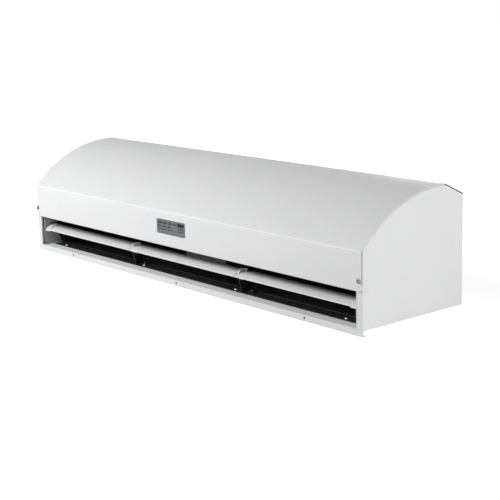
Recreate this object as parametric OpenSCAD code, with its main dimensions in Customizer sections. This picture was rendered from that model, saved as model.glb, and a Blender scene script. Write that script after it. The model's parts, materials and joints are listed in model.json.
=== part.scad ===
// Air curtain with cross-flow fan wheels, lying on its wall side.
// The outlet slot faces -Y, the air inlet +Y, and the length runs along X.
// Inside casing() y counts back from the fascia and z up from the base pan.

/* [Casing] */
// Length over the end panels
body_l = 900; // [750:10:1100]
// Depth from the fascia to the back
body_d = 230; // [215:1:280]
// Height above the base pan's underside
body_h = 200; // [166:1:245]
// Gap between the base pan and the wall
stand_off = 10; // [8:0.5:14]
// Height of the fascia's upper bend
crease_h = 120; // [100:1:140]
// Height of the fascia's lower edge, which is the slot's height
slot_h = 59; // [50:1:70]
// Distance of the arc's end from the back
crest_back = 48; // [40:1:60]
// Flat strip behind the arc
crest_flat = 5; // [3:0.5:10]
// Fall of the chamfer behind the crest
chamfer_drop = 20; // [10:1:30]
// Thickness of the painted sheet
sheet_t = 1.2; // [0.8:0.1:1.5]
// Gap between pieces that are fitted together
fit_gap = 0.2; // [0.1:0.05:0.3]

/* [Outlet slot] */
// Width of the end panel's front jamb
jamb_w = 13.5; // [10:0.5:15]
// Distance of the inner side wall from the end
side_in = 16; // [15:0.5:20]
// Distance of the scroll's front edge from the fascia
floor_d = 23; // [22:1:32]
// Length of the return hem under the lip
lip_hem = 5; // [4:0.5:8]
// Height of the fascia's folded hem
fascia_hem = 10; // [6:1:14]
// Depth of the return flange along the jamb's inner edge
jamb_return = 3; // [2:0.5:5]

/* [Fan] */
// Radius of the fan wheels
wheel_r = 48; // [44:1:50]
// Number of blades in a wheel
blade_n = 30; // [24:1:36]
// Number of sections in a wheel
section_n = 5; // [3:1:7]
// Distance of the fan axis from the back
axis_back = 92; // [88:1:96]
// Height of the fan axis
axis_z = 92; // [90:1:96]
// Growth of the volute past the wheel
volute_rise = 18; // [16:1:20]
// Thickness of the duct sheet
duct_t = 1; // [0.8:0.1:1.5]
// Radius of the motor
motor_r = 50; // [46:1:51]
// Length of the motor case
motor_l = 80; // [70:1:90]
// Radius of the motor shaft
shaft_r = 5; // [4:0.5:6]
// Radius of the end axles
axle_r = 4; // [3:0.5:5]

/* [Louvre] */
// Distance of the pivot from the fascia
pivot_y = 26; // [24:1:28]
// Height of the pivot
pivot_z = 32; // [28:1:34]
// Depth of a blade from nose to tail
vane_chord = 33.5; // [28:0.5:36]
// Rise of a blade's curve
vane_sag = 3; // [2:0.5:5]
// Slope of a blade at rest
vane_tilt = 7.5; // [0:0.1:20]
// Thickness of a blade
vane_t = 2; // [1.5:0.1:3]
// Width of an end cap
cap_w = 14; // [10:1:18]
// Width of a joint between blades
joint_w = 8; // [7:0.5:12]
// Rise of the caps' curve
cap_sag = 7; // [5:0.5:8]
// Radius of the disc on a joint
joint_disc_r = 10.2; // [8:0.1:11]

/* [Display] */
// Width of the display lens
lens_w = 80; // [60:1:90]
// Height of the display lens
lens_h = 25.7; // [20:0.1:28]
// Height of the lens's lower edge
lens_z = 80.5; // [78:0.5:84]
// Sideways place of the lens
lens_x = -8; // [-30:1:30]

/* [Mounting plate] */
// Distance of the plate's ends from the casing's ends
plate_in = 100; // [80:5:120]
// Distance between the rows of wall screws
wall_pitch_y = 110; // [90:5:120]
// Radius of the wall screw holes
wall_hole_r = 4.25; // [3:0.25:5]
// Thickness of the plate
plate_t = 1.5; // [1.2:0.1:2]
// Radius of the cable entry
cable_r = 5; // [4:0.5:6]

/* [Hidden] */

$fn = 64;
white = [0.93, 0.93, 0.92];
cream = [0.87, 0.85, 0.79];
zinc = [0.72, 0.73, 0.74];
black = [0.1, 0.1, 0.11];
steel = [0.62, 0.63, 0.65];

// casing
screw_head_h = 2.2;
crest_y = body_d - crest_back;
crest_end = crest_y + crest_flat;
rise = body_h - crease_h;
arc_r = (crest_y * crest_y + rise * rise) / (2 * rise);
arc_z = body_h - arc_r;
back_h = body_h - chamfer_drop;
chamfer_a = atan(chamfer_drop / (body_d - crest_end));
jamb_y = 2 * sheet_t + 0.1;
panel_inset = sheet_t + fit_gap;
half_l = body_l / 2;
pan_half = half_l - sheet_t - fit_gap;
cover_half = half_l - 1.5;
flange_w = 10;
side_x = half_l - side_in;
sill_h = 95;
guard_t = 2;
guard_drop = guard_t / cos(chamfer_a);
cover_screw_x = half_l - 6.2;
cover_screw_z = slot_h + 16.5;
lip_hole_r = 2.25;
lip_hole_z = -3.8;
lip_hole_x = [-half_l + 125, 0, half_l - 125];

// duct and fan
axis_y = body_d - axis_back;
wheel_gap = 5;
motor_gap = 2.4;
volute_gap = 4;
scroll_r = wheel_r + volute_rise;
scroll_off = volute_rise - volute_gap;
scroll_a = 35;
scroll_y = axis_y - scroll_off * cos(scroll_a);
scroll_z = axis_z - scroll_off * sin(scroll_a);
duct_half = side_x - 9;
bend_y = 47;
bend_z = sheet_t + duct_t;
bead_r = 0.8;
bend_dist = norm([scroll_y - bend_y, scroll_z - bend_z]);
slope_a = atan2(scroll_z - bend_z, scroll_y - bend_y) - asin(scroll_r / bend_dist);
slope_l = sqrt(bend_dist * bend_dist - scroll_r * scroll_r);
slope_pitch = 312;
notch_half = 56;
notch_y = 75;
tongue_r = wheel_r + wheel_gap;
tongue_a0 = 197;
tongue_a1 = 160;
nozzle_y = 6;
nozzle_z = slot_h + 1;
seat_gap = 0.01;
tongue_y = axis_y + tongue_r * cos(tongue_a0);
tongue_z = axis_z + tongue_r * sin(tongue_a0);
nozzle_a = atan2(tongue_z - nozzle_z, tongue_y - nozzle_y);
nozzle_l = norm([tongue_y - nozzle_y, tongue_z - nozzle_z]);
running = 0.05;
wheel_in = 62;
wheel_out = duct_half - 5;
disc_t = 2;
hub_r = 12;
hub_screw_x = wheel_in + 14;
ring_r = 20;
ring_l = 5;
bracket_t = 2;
bracket_x = motor_l / 2 + 10;
boss_r = 15;
seat_z = axis_z - 1;
ear_w = 9;
strap_t = 2;
strap_screw_x = bracket_x + 5;
strap_screw_y = ring_r + 7;
bearing_r = 9;
rubber_r = 15;

// louvre
nose_d = vane_chord / 2;
vane_r = (nose_d * nose_d + vane_sag * vane_sag) / (2 * vane_sag);
cap_chord = vane_chord + 2.5;
cap_r = (cap_chord * cap_chord / 4 + cap_sag * cap_sag) / (2 * cap_sag);
vane_lift = 3.1;
cap_nose = 2.4;
joint_disc_up = 2;
joint_x = body_l / 6;
stay_t = 1.5;
pin_r = 1.5;
stub_r = 2.5;
bush_r = 5;
cap_gap = 0.4;
liner_t = 1;
cap_x = side_x - fit_gap - liner_t - cap_gap;
vane_end = cap_x - cap_w;
eye_r = 3.2;
foot_in = 6;
foot_w = 13;
foot_l = 16;
stay_screw_y = pivot_y + foot_in + 7;
stay_screw_x = [for (s = [-1, 1]) s * joint_x + 10];

// small parts
scroll_screw_y = floor_d + 7;
scroll_screw_x = [for (i = [0:3]) -half_l + 60 + i * (body_l - 120) / 3];
plate_half = half_l - plate_in;
plate_bolt_y = body_d - 29;
plate_bolt_x = [for (s = [-1, 1], f = [0.3, 0.75]) s * f * plate_half];
wall_pitch_x = 2 * plate_half - 100;
web_y0 = 12;
web_y1 = plate_bolt_y - 11;
grommet_x = -half_l + 50;
grommet_y = body_d - 18;
clamp_dx = 24;
capacitor_w = 48;
capacitor_h = 34;
capacitor_x = plate_bolt_x[0] - 17 - capacitor_w;
tray_x = -30;
tray_up = 12;
tray_w = 200;
tray_l = nozzle_l - tray_up - 10;
tray_h = 28;
board_z = 6;
board_t = 1.6;
board_top = board_z + board_t;
bracket_screw_x = 26;
bracket_screw_y = [axis_y - 32, axis_y + 32];
side_screw_y = [30, body_d - 40];

// The casing's own frame: y from the fascia's front, z from the base pan's underside.
module casing() {
    translate([0, -(body_d - screw_head_h) / 2, stand_off]) children();
}

// A (y, z) outline extruded along X, centred on x.
module along_x(len, x = 0) {
    translate([x, 0, 0]) rotate([90, 0, 90]) linear_extrude(height = len, center = true) children();
}

module at_ends() {
    children();
    mirror([1, 0, 0]) children();
}

module strip(y0, z0, y1, z1) {
    translate([y0, z0]) square([y1 - y0, z1 - z0]);
}

// A round rod or bore along X from x0 to x1 at (y, z).
module rod_x(r, x0, x1, y = 0, z = 0) {
    translate([x0, y, z]) rotate([0, 90, 0]) cylinder(r = r, h = x1 - x0);
}

// A pan head screw: the head stands on z = 0 and the shank goes down.
module screw(r, head_r, head_h, len) {
    translate([0, 0, -len]) cylinder(r = r, h = len + 0.1);
    difference() {
        cylinder(r = head_r, h = head_h);
        for (a = [0, 90]) rotate([0, 0, a]) translate([0, 0, head_h])
            cube([head_r * 1.1, head_r * 0.24, head_h], center = true);
    }
}

// Plan of the casing seen from the end, inset under the cover by some millimetres.
module end_outline(inset, front, back, top_drop) {
    difference() {
        polygon([[front, 0], [front, body_h - inset], [crest_end, body_h - inset],
            [crest_end, body_h - top_drop], [body_d - back, back_h - top_drop], [body_d - back, 0]]);
        difference() {
            translate([front - 1, 0]) square([crest_y - front + 1, body_h]);
            translate([crest_y, arc_z]) circle(arc_r - inset, $fn = 180);
        }
    }
}

// A strip of sheet that follows the cover's arc between two depths.
module arc_strip(inset, t, y0, y1) {
    intersection() {
        translate([crest_y, arc_z]) difference() {
            circle(arc_r - inset, $fn = 180);
            circle(arc_r - inset - t, $fn = 180);
        }
        strip(y0, slot_h, y1, body_h);
    }
}

// ---- casing ----
module base_pan() {
    color(white) casing() difference() {
        union() {
            along_x(2 * pan_half) {
                strip(jamb_y, 0, body_d, sheet_t);
                strip(body_d - sheet_t, 0, body_d, sill_h);
                strip(body_d - 8, sill_h - sheet_t, body_d, sill_h);
            }
            along_x(body_l) polygon([[jamb_y, 0], [jamb_y, -stand_off],
                [jamb_y + sheet_t + lip_hem, -stand_off],
                [jamb_y + sheet_t + lip_hem, sheet_t - stand_off],
                [jamb_y + sheet_t, sheet_t - stand_off], [jamb_y + sheet_t, 0]]);
            at_ends() along_x(sheet_t, pan_half - sheet_t / 2)
                strip(10, 0, body_d - sheet_t - 4, flange_w + 2);
        }
        for (x = lip_hole_x) translate([x, 0, lip_hole_z]) rotate([-90, 0, 0])
            cylinder(r = lip_hole_r, h = 10);
        for (x = scroll_screw_x) drill(x, scroll_screw_y, 1.6);
        for (x = plate_bolt_x) drill(x, plate_bolt_y, 2.6);
        for (s = [-1, 1], y = bracket_screw_y) drill(s * bracket_screw_x, y, 2.1);
        for (s = [-1, 1], y = side_screw_y) drill(s * (side_x + 7), y, 1.6);
        for (x = stay_screw_x) drill(x, stay_screw_y, 1.6);
        drill(grommet_x, grommet_y, cable_r + 3);
        drill(grommet_x + clamp_dx, grommet_y, 1.6);
    }
}

// A hole down through the pan's floor and whatever lies on it.
module drill(x, y, r) {
    translate([x, y, -2]) cylinder(r = r, h = 12);
}

module top_cover() {
    color(white) casing() difference() {
        union() {
            along_x(2 * cover_half) {
                strip(0, slot_h, sheet_t, crease_h - sheet_t / 2);
                strip(sheet_t / 2, slot_h, 2 * sheet_t, slot_h + fascia_hem);
                arc_strip(0, sheet_t, 0, crest_y);
                strip(crest_y, body_h - sheet_t, crest_end, body_h);
            }
            along_x(2 * (half_l - flange_w - 4)) strip(crest_end - sheet_t, body_h - 8, crest_end, body_h);
        }
        at_ends() translate([cover_screw_x, -1, cover_screw_z]) rotate([-90, 0, 0])
            cylinder(r = 2.1, h = 5);
        lens_outline(fit_gap, -1, 3);
    }
}

// The rounded outline of the display lens, as a solid from y0 to y1.
module lens_outline(grow, y0, y1) {
    r = 2 + grow;
    translate([lens_x, y1, lens_z + lens_h / 2]) rotate([90, 0, 0]) linear_extrude(y1 - y0)
        union() {
            square([lens_w + 2 * grow, lens_h + 2 * grow - 2 * r], center = true);
            square([lens_w + 2 * grow - 2 * r, lens_h + 2 * grow], center = true);
            for (sx = [-1, 1], sz = [-1, 1])
                translate([sx * (lens_w / 2 + grow - r), sz * (lens_h / 2 + grow - r)]) circle(r);
        }
}

module end_panel() {
    panel_drop = guard_drop + fit_gap / 2;
    back_y = body_d - guard_t - fit_gap;
    casing() difference() {
        union() {
            along_x(sheet_t, half_l - sheet_t / 2) end_outline(panel_inset, jamb_y, 0, panel_drop);
            along_x(jamb_w, half_l - jamb_w / 2)
                strip(jamb_y, sheet_t + fit_gap, jamb_y + sheet_t, crease_h - 2);
            along_x(sheet_t, half_l - jamb_w + sheet_t / 2)
                strip(jamb_y, sheet_t + fit_gap, jamb_y + jamb_return, slot_h - fit_gap);
            along_x(flange_w + 1, half_l - (flange_w + 1) / 2)
                arc_strip(panel_inset, sheet_t, jamb_y + sheet_t + 2, crest_y);
            along_x(flange_w + 1, half_l - (flange_w + 1) / 2)
                strip(back_y - sheet_t, sill_h + 1, back_y, back_h - panel_drop - 1);
        }
        translate([cover_screw_x, -1, cover_screw_z]) rotate([-90, 0, 0]) cylinder(r = 1.9, h = 8);
    }
}

module left_end_panel() {
    color(white) mirror([1, 0, 0]) end_panel();
}

module right_end_panel() {
    color(white) end_panel();
}

// Inner side plate: closes the duct, carries a shaft bearing and a louvre bush.
module side_plate() {
    y0 = jamb_y + jamb_return + 1;
    notch = 3.5;
    casing() difference() {
        union() {
            along_x(sheet_t, side_x + sheet_t / 2) difference() {
                translate([0, sheet_t]) end_outline(10, y0, 10, 14);
                strip(0, 0, y0 + notch, sheet_t + notch);
                strip(0, slot_h - notch, y0 + notch, slot_h + 2);
            }
            along_x(flange_w + 2, side_x + (flange_w + 2) / 2)
                strip(14, sheet_t, body_d - 20, 2 * sheet_t);
        }
        rod_x(rubber_r, side_x - 1, side_x + 5, axis_y, axis_z);
        rod_x(bush_r, side_x - 1, side_x + 5, pivot_y, pivot_z);
        for (y = side_screw_y) drill(side_x + 7, y, 1.6);
    }
}

module left_side_plate() {
    color(zinc) mirror([1, 0, 0]) side_plate();
}

module right_side_plate() {
    color(zinc) side_plate();
}

// ---- duct ----
module scroll() {
    color(black) casing() difference() {
        along_x(2 * duct_half) {
            strip(floor_d, sheet_t, bend_y + 0.1, bend_z);
            translate([bend_y, bend_z]) circle(bead_r, $fn = 24);
            translate([bend_y, bend_z]) rotate(slope_a) translate([0, -duct_t]) square([slope_l, duct_t]);
            translate([scroll_y, scroll_z]) intersection() {
                difference() {
                    circle(scroll_r + duct_t, $fn = 120);
                    circle(scroll_r, $fn = 120);
                }
                wedge(slope_a - 91, scroll_a, 2 * scroll_r);
            }
        }
        translate([-notch_half, notch_y, -1]) cube([2 * notch_half, body_d, body_h]);
        for (x = scroll_screw_x) drill(x, scroll_screw_y, 1.6);
        for (x = stay_screw_x) drill(x, stay_screw_y, 1.6);
        for (i = [-1:1]) on_slope(i * slope_pitch - 23, 14) cube([10, 3, 6], center = true);
        for (i = [-1:1]) on_slope(i * slope_pitch + 56, 19) cylinder(r = 2, h = 6, center = true);
    }
}

// A sector of a circle between two angles, as a mask.
module wedge(a0, a1, r) {
    steps = 6;
    polygon(concat([[0, 0]],
        [for (i = [0:steps]) let (a = a0 + (a1 - a0) * i / steps) r * [cos(a), sin(a)]]));
}

// A place on the scroll's sloping floor, some way up from its bend.
module on_slope(x, up) {
    translate([x, bend_y, bend_z]) rotate([slope_a, 0, 0]) translate([0, up, 0]) children();
}

// A place on the nozzle plate's upper side.
module on_nozzle(x, up) {
    translate([x, nozzle_y, nozzle_z]) rotate([nozzle_a, 0, 0])
        translate([0, up, duct_t + seat_gap]) children();
}

module nozzle_plate() {
    color(black) casing() difference() {
        along_x(2 * duct_half) {
            strip(nozzle_y - 1.2, nozzle_z, nozzle_y - 0.2, nozzle_z + 10);
            translate([nozzle_y - 1.2, nozzle_z]) square([1.4, duct_t]);
            translate([nozzle_y, nozzle_z]) rotate(nozzle_a) square([nozzle_l, duct_t]);
            translate([axis_y, axis_z]) intersection() {
                difference() {
                    circle(tongue_r + duct_t, $fn = 120);
                    circle(tongue_r, $fn = 120);
                }
                wedge(tongue_a1, tongue_a0 + 1, 2 * tongue_r);
            }
        }
        rod_x(motor_r + motor_gap, -notch_half, notch_half, axis_y, axis_z);
    }
}

// Black cheek that closes the duct at one end, with a thin liner beside the louvre's tail.
module scroll_end() {
    t = side_x - duct_half - 2 * fit_gap;
    liner_y = bend_y - 10.5;
    base_z = sheet_t + fit_gap;
    liner_x = side_x - fit_gap - liner_t / 2;
    casing() difference() {
        union() {
            along_x(liner_t, liner_x) polygon([[bend_y, base_z], [liner_y, 25], [liner_y, slot_h + 5],
                [bend_y + 10, slot_h + 5], [bend_y + 10, base_z]]);
            along_x(t, duct_half + fit_gap + t / 2) polygon([[bend_y, base_z], [bend_y, slot_h + 8],
                [tongue_y, tongue_z + 4], [scroll_y, scroll_z], [scroll_y, base_z]]);
            rod_x(scroll_r + 3, duct_half + fit_gap, duct_half + fit_gap + t, scroll_y, scroll_z);
        }
        rod_x(rubber_r + 4, duct_half - 1, side_x + 1, axis_y, axis_z);
    }
}

module left_scroll_end() {
    color(black) mirror([1, 0, 0]) scroll_end();
}

module right_scroll_end() {
    color(black) scroll_end();
}

// Black plate that closes the duct in front of the motor.
module motor_shroud() {
    y = notch_y - 5;
    gap = 0.3;
    z0 = bend_z + (y + duct_t - bend_y) * tan(slope_a) + gap;
    z1 = nozzle_z + (y - nozzle_y) * tan(nozzle_a) - gap;
    color(black) casing() {
        translate([-notch_half, y, z0]) cube([2 * notch_half, duct_t, z1 - z0]);
        at_ends() translate([notch_half - duct_t, y, z0 + 5]) cube([duct_t, 15, z1 - z0 - 5]);
    }
}

// ---- inlet ----
module slot_grid(len, w, rows) {
    cols = round(len / 37.5);
    pitch = len / cols;
    bar = 3;
    row = w / rows;
    for (i = [0:cols - 1], j = [0:rows - 1])
        translate([-len / 2 + i * pitch + bar / 2, j * row + bar / 2]) square([pitch - bar, row - bar]);
}

module intake_guard() {
    rim = 6;
    z0 = sill_h + fit_gap;
    z1 = back_h - guard_drop;
    chamfer_l = norm([body_d - crest_end, chamfer_drop]);
    front_y = crest_end + fit_gap;
    front_z = body_h - fit_gap / 2;
    color(black) casing() difference() {
        union() {
            along_x(2 * pan_half) strip(body_d - guard_t, z0, body_d, back_h - 2);
            along_x(body_l) polygon([[front_y, front_z], [body_d, back_h], [body_d, back_h - guard_drop],
                [front_y, front_z - guard_drop]]);
        }
        translate([0, body_d + 1, z0 + rim]) rotate([90, 0, 0]) linear_extrude(guard_t + 2)
            slot_grid(2 * pan_half - 2 * rim, z1 - z0 - 2 * rim, 7);
        translate([0, crest_end, body_h]) rotate([-chamfer_a, 0, 0]) translate([0, rim, -guard_t - 1])
            linear_extrude(guard_t + 2) slot_grid(2 * pan_half - 2 * rim, chamfer_l - 2 * rim - 2, 4);
    }
}

module intake_filter() {
    y0 = body_d - guard_t - 5;
    half = pan_half - flange_w - 4;
    filter_h = back_h - guard_drop - sill_h - 8;
    color(black) casing() difference() {
        translate([-half, y0, sill_h + fit_gap]) cube([2 * half, 4, filter_h]);
        translate([-half + 8, y0 - 1, sill_h + 8]) cube([2 * half - 16, 3.5, filter_h - 16]);
    }
}

module mounting_plate() {
    top = -fit_gap / 2;
    web = -stand_off;
    tab_w = 24;
    tab_y = jamb_y + sheet_t + fit_gap;
    color(zinc) casing() difference() {
        union() {
            along_x(2 * plate_half) {
                strip(web_y0, web, web_y1, web + plate_t);
                strip(web_y0, web, web_y0 + plate_t, top);
                strip(web_y1 - plate_t, web, web_y1, top);
                strip(web_y1 - plate_t, top - plate_t, plate_bolt_y + 11, top);
            }
            for (x = lip_hole_x) along_x(tab_w, x) {
                strip(tab_y, top - plate_t, web_y0 + plate_t, top);
                strip(tab_y, lip_hole_z - 3, tab_y + plate_t, top);
            }
        }
        for (sx = [-1, 1], sy = [-1, 1])
            translate([sx * wall_pitch_x / 2, (web_y0 + web_y1) / 2 + sy * wall_pitch_y / 2, web - 1])
                cylinder(r = wall_hole_r, h = 5);
        for (x = plate_bolt_x) translate([x, plate_bolt_y, web - 1]) cylinder(r = 2.6, h = stand_off + 2);
        for (x = lip_hole_x) translate([x, 0, lip_hole_z]) rotate([-90, 0, 0])
            cylinder(r = lip_hole_r, h = tab_y + plate_t + 1);
    }
}

// ---- motor ----
module motor_case() {
    wall = 2;
    color(steel) casing() difference() {
        union() {
            rod_x(motor_r, -motor_l / 2, motor_l / 2, axis_y, axis_z);
            rod_x(motor_r - 6, -motor_l / 2 - 4, motor_l / 2 + 4, axis_y, axis_z);
            rod_x(boss_r, -bracket_x - 6, bracket_x + 6, axis_y, axis_z);
        }
        rod_x(motor_r - wall, wall - motor_l / 2, motor_l / 2 - wall, axis_y, axis_z);
        rod_x(shaft_r + running, -bracket_x - 7, bracket_x + 7, axis_y, axis_z);
        at_ends() for (a = [0:30:330]) translate([motor_l / 2 - 1, axis_y, axis_z]) rotate([a, 0, 0])
            translate([0, (motor_r + boss_r) / 2, 0]) cube([16, 12, 4], center = true);
    }
}

module motor_stator() {
    color(steel) casing() difference() {
        rod_x(motor_r - 2, -motor_l / 4, motor_l / 4, axis_y, axis_z);
        rod_x(motor_r / 2 + 0.5, -motor_l / 4 - 1, motor_l / 4 + 1, axis_y, axis_z);
    }
}

module motor_rotor() {
    color(steel) casing() difference() {
        rod_x(motor_r / 2, -motor_l / 4, motor_l / 4, axis_y, axis_z);
        rod_x(shaft_r, -motor_l / 4 - 1, motor_l / 4 + 1, axis_y, axis_z);
    }
}

module motor_shaft() {
    color(steel) casing() rod_x(shaft_r, -wheel_in - 22, wheel_in + 22, axis_y, axis_z);
}

module motor_rings() {
    color(black) casing() at_ends() difference() {
        rod_x(ring_r, bracket_x - ring_l / 2, bracket_x + ring_l / 2, axis_y, axis_z);
        rod_x(boss_r, bracket_x - ring_l, bracket_x + ring_l, axis_y, axis_z);
    }
}

module motor_bracket() {
    foot_y = 38;
    color(zinc) casing() difference() {
        union() {
            translate([-bracket_x - bracket_t / 2, axis_y - foot_y, sheet_t])
                cube([2 * bracket_x + bracket_t, 2 * foot_y, bracket_t]);
            at_ends() along_x(bracket_t, bracket_x) polygon([[axis_y - foot_y, sheet_t],
                [axis_y + foot_y, sheet_t], [axis_y + ring_r + 12, seat_z],
                [axis_y - ring_r - 12, seat_z]]);
            at_ends() for (s = [-1, 1])
                translate([bracket_x, axis_y + s * strap_screw_y - 5, seat_z - bracket_t])
                    cube([ear_w, 10, bracket_t]);
        }
        rod_x(ring_r + fit_gap / 2, -bracket_x - ear_w - 1, bracket_x + ear_w + 1, axis_y, axis_z);
        for (s = [-1, 1], y = bracket_screw_y) drill(s * bracket_screw_x, y, 2.1);
        strap_holes();
    }
}

// Holes for the screws that clamp the straps to the bracket's ears.
module strap_holes() {
    for (s = [-1, 1], t = [-1, 1])
        translate([s * strap_screw_x, axis_y + t * strap_screw_y, seat_z - 8]) cylinder(r = 1.6, h = 14);
}

module motor_straps() {
    x0 = bracket_x - ring_l / 2;
    x1 = bracket_x + ear_w;
    wide = 2 * ring_r + 24;
    color(zinc) casing() difference() {
        at_ends() {
            rod_x(ring_r + strap_t, x0, x1, axis_y, axis_z);
            translate([x0, axis_y - wide / 2, seat_z + fit_gap]) cube([x1 - x0, wide, strap_t]);
        }
        rod_x(ring_r + fit_gap / 2, -x1 - 1, x1 + 1, axis_y, axis_z);
        translate([-x1 - 1, axis_y - wide, seat_z + fit_gap - wide]) cube([2 * x1 + 2, 2 * wide, wide]);
        strap_holes();
    }
}

// ---- fan ----
// One curved blade of a cross-flow wheel, seen from the end.
module wheel_blade() {
    inner_r = wheel_r - 11;
    mid = (wheel_r + inner_r) / 2;
    bow_r = 10;
    intersection() {
        translate([mid, -bow_r + 1]) difference() {
            circle(bow_r + 0.5);
            circle(bow_r - 0.5);
        }
        difference() {
            circle(wheel_r - 0.4, $fn = 120);
            circle(inner_r, $fn = 120);
        }
        translate([0, -7]) square([2 * wheel_r, 20]);
    }
}

module fan_wheel() {
    len = wheel_out - wheel_in;
    mid = (wheel_out + wheel_in) / 2;
    ring_in = wheel_r - 13;
    color(steel) casing() translate([0, axis_y, axis_z]) {
        along_x(len, mid) for (i = [0:blade_n - 1]) rotate(i * 360 / blade_n) wheel_blade();
        for (i = [1:section_n - 1]) along_x(disc_t, wheel_in + i * len / section_n) difference() {
            circle(wheel_r, $fn = 120);
            circle(ring_in, $fn = 120);
        }
        difference() {
            union() {
                rod_x(wheel_r, wheel_in, wheel_in + disc_t);
                rod_x(hub_r, wheel_in - 3, wheel_in + 20);
            }
            rod_x(shaft_r + running, wheel_in - 5, wheel_in + 25);
            translate([hub_screw_x, 0, 0]) cylinder(r = 2, h = hub_r + 2);
        }
        difference() {
            union() {
                rod_x(wheel_r, wheel_out - disc_t, wheel_out);
                rod_x(hub_r - 2, wheel_out - 16, wheel_out + 2);
            }
            rod_x(axle_r + running, wheel_out - 20, wheel_out + 5);
        }
    }
}

module left_fan_wheel() {
    mirror([1, 0, 0]) fan_wheel();
}

module right_fan_wheel() {
    fan_wheel();
}

module fan_axles() {
    color(steel) casing() at_ends() rod_x(axle_r, wheel_out - 15, side_x + 11, axis_y, axis_z);
}

module shaft_bearings() {
    color("peru") casing() at_ends() difference() {
        rod_x(bearing_r, side_x - 2, side_x + 9, axis_y, axis_z);
        rod_x(axle_r + running, side_x - 3, side_x + 10, axis_y, axis_z);
    }
}

module bearing_rubbers() {
    color(black) casing() at_ends() difference() {
        union() {
            rod_x(rubber_r, side_x - 1, side_x + 4, axis_y, axis_z);
            rod_x(rubber_r + 3, side_x + sheet_t, side_x + 4, axis_y, axis_z);
            rod_x(rubber_r + 3, side_x - 2, side_x, axis_y, axis_z);
        }
        rod_x(bearing_r, side_x - 5, side_x + 5, axis_y, axis_z);
    }
}

// ---- louvre ----
// Outlines below lie in the blade's own frame: pivot at the origin, chord along y.
module vane_bow() {
    a = asin(nose_d / vane_r);
    mid_r = vane_r - vane_t / 2;
    translate([0, vane_lift + vane_sag - vane_r]) {
        intersection() {
            difference() {
                circle(vane_r, $fn = 180);
                circle(vane_r - vane_t, $fn = 180);
            }
            wedge(90 - a, 90 + a, 1.2 * vane_r);
        }
        for (s = [-1, 1]) rotate(s * a) translate([0, mid_r]) circle(vane_t / 2);
    }
}

// A blade's section: the bow with a rib under it.
module vane_outline() {
    vane_bow();
    strip(-1, vane_lift + vane_sag - vane_t - 3, 1, vane_lift + vane_sag - vane_t / 2);
}

module cap_outline() {
    intersection() {
        translate([0, vane_lift - 1 + cap_sag - cap_r]) circle(cap_r, $fn = 120);
        strip(-cap_chord / 2, vane_lift - 1 - cap_nose, cap_chord / 2, vane_lift + cap_sag);
    }
}

module louvre_frame() {
    casing() translate([0, pivot_y, pivot_z]) rotate([vane_tilt, 0, 0]) children();
}

module side_louvre() {
    x0 = joint_x + joint_w / 2 + fit_gap;
    x1 = vane_end - fit_gap;
    louvre_frame() along_x(x1 - x0, (x0 + x1) / 2) vane_outline();
}

module left_louvre() {
    color(white) mirror([1, 0, 0]) side_louvre();
}

module right_louvre() {
    color(white) side_louvre();
}

module centre_louvre() {
    color(white) louvre_frame() along_x(2 * (joint_x - joint_w / 2 - fit_gap)) vane_outline();
}

module louvre_cap() {
    louvre_frame() {
        along_x(cap_w, vane_end + cap_w / 2) {
            cap_outline();
            circle(bush_r);
        }
        rod_x(stub_r, vane_end + cap_w - 1, side_x + 5);
    }
}

module left_louvre_cap() {
    color(cream) mirror([1, 0, 0]) louvre_cap();
}

module right_louvre_cap() {
    color(cream) louvre_cap();
}

// A joint carries the blades' bow across the stay. A disc stands on one side of the stay
// and a boss on the other.
module louvre_joints() {
    slit = stay_t + 0.6;
    disc_w = (joint_w - slit) / 2;
    color(cream) louvre_frame() for (s = [-1, 1]) translate([s * joint_x, 0, 0]) difference() {
        union() {
            along_x(joint_w) {
                vane_bow();
                circle(bush_r);
            }
            along_x(disc_w, (slit + disc_w) / 2) translate([0, joint_disc_up]) circle(joint_disc_r, $fn = 96);
        }
        along_x(slit) {
            strip(-eye_r - 2, -cap_chord, eye_r + 2, eye_r + 0.6);
            strip(-joint_disc_r - 1, -cap_chord, joint_disc_r + 1, vane_lift - 0.7);
            strip(-cap_chord, -cap_chord, cap_chord, vane_lift - vane_t);
        }
        rod_x(pin_r, -joint_w, joint_w);
    }
}

module louvre_pins() {
    color(steel) louvre_frame() for (s = [-1, 1])
        rod_x(pin_r, s * joint_x - joint_w / 2 + 0.5, s * joint_x + joint_w / 2 - 0.5);
}

// Thin black stay that stands on the scroll's front flange and carries the joint's pin.
module louvre_stays() {
    foot_y = pivot_y + foot_in;
    color(black) casing() difference() {
        for (s = [-1, 1]) {
            along_x(stay_t, s * joint_x) {
                polygon([[floor_d + 2, bend_z], [foot_y + foot_w, bend_z], [pivot_y + eye_r, pivot_z],
                    [pivot_y, pivot_z + eye_r - 0.2], [pivot_y - 7, pivot_z - 6]]);
                translate([pivot_y, pivot_z]) circle(eye_r);
            }
            translate([s * joint_x - stay_t / 2, foot_y, bend_z]) cube([foot_l, foot_w, sheet_t]);
        }
        rod_x(pin_r + running, -joint_x - 3, joint_x + 3, pivot_y, pivot_z);
        for (x = stay_screw_x) drill(x, stay_screw_y, 1.6);
    }
}

module louvre_bushes() {
    color(white) casing() at_ends() difference() {
        union() {
            rod_x(bush_r, side_x, side_x + 3, pivot_y, pivot_z);
            rod_x(bush_r + 2, side_x + sheet_t, side_x + 3, pivot_y, pivot_z);
        }
        rod_x(stub_r + running, side_x - 1, side_x + 5, pivot_y, pivot_z);
    }
}

// ---- display and electrics ----
module display_lens() {
    color("slategray") casing() {
        lens_outline(0, 0.2, sheet_t + 0.1);
        translate([lens_x - lens_w / 2 - 3, sheet_t, lens_z - 2]) cube([lens_w + 6, 1.2, lens_h + 4]);
    }
}

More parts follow.
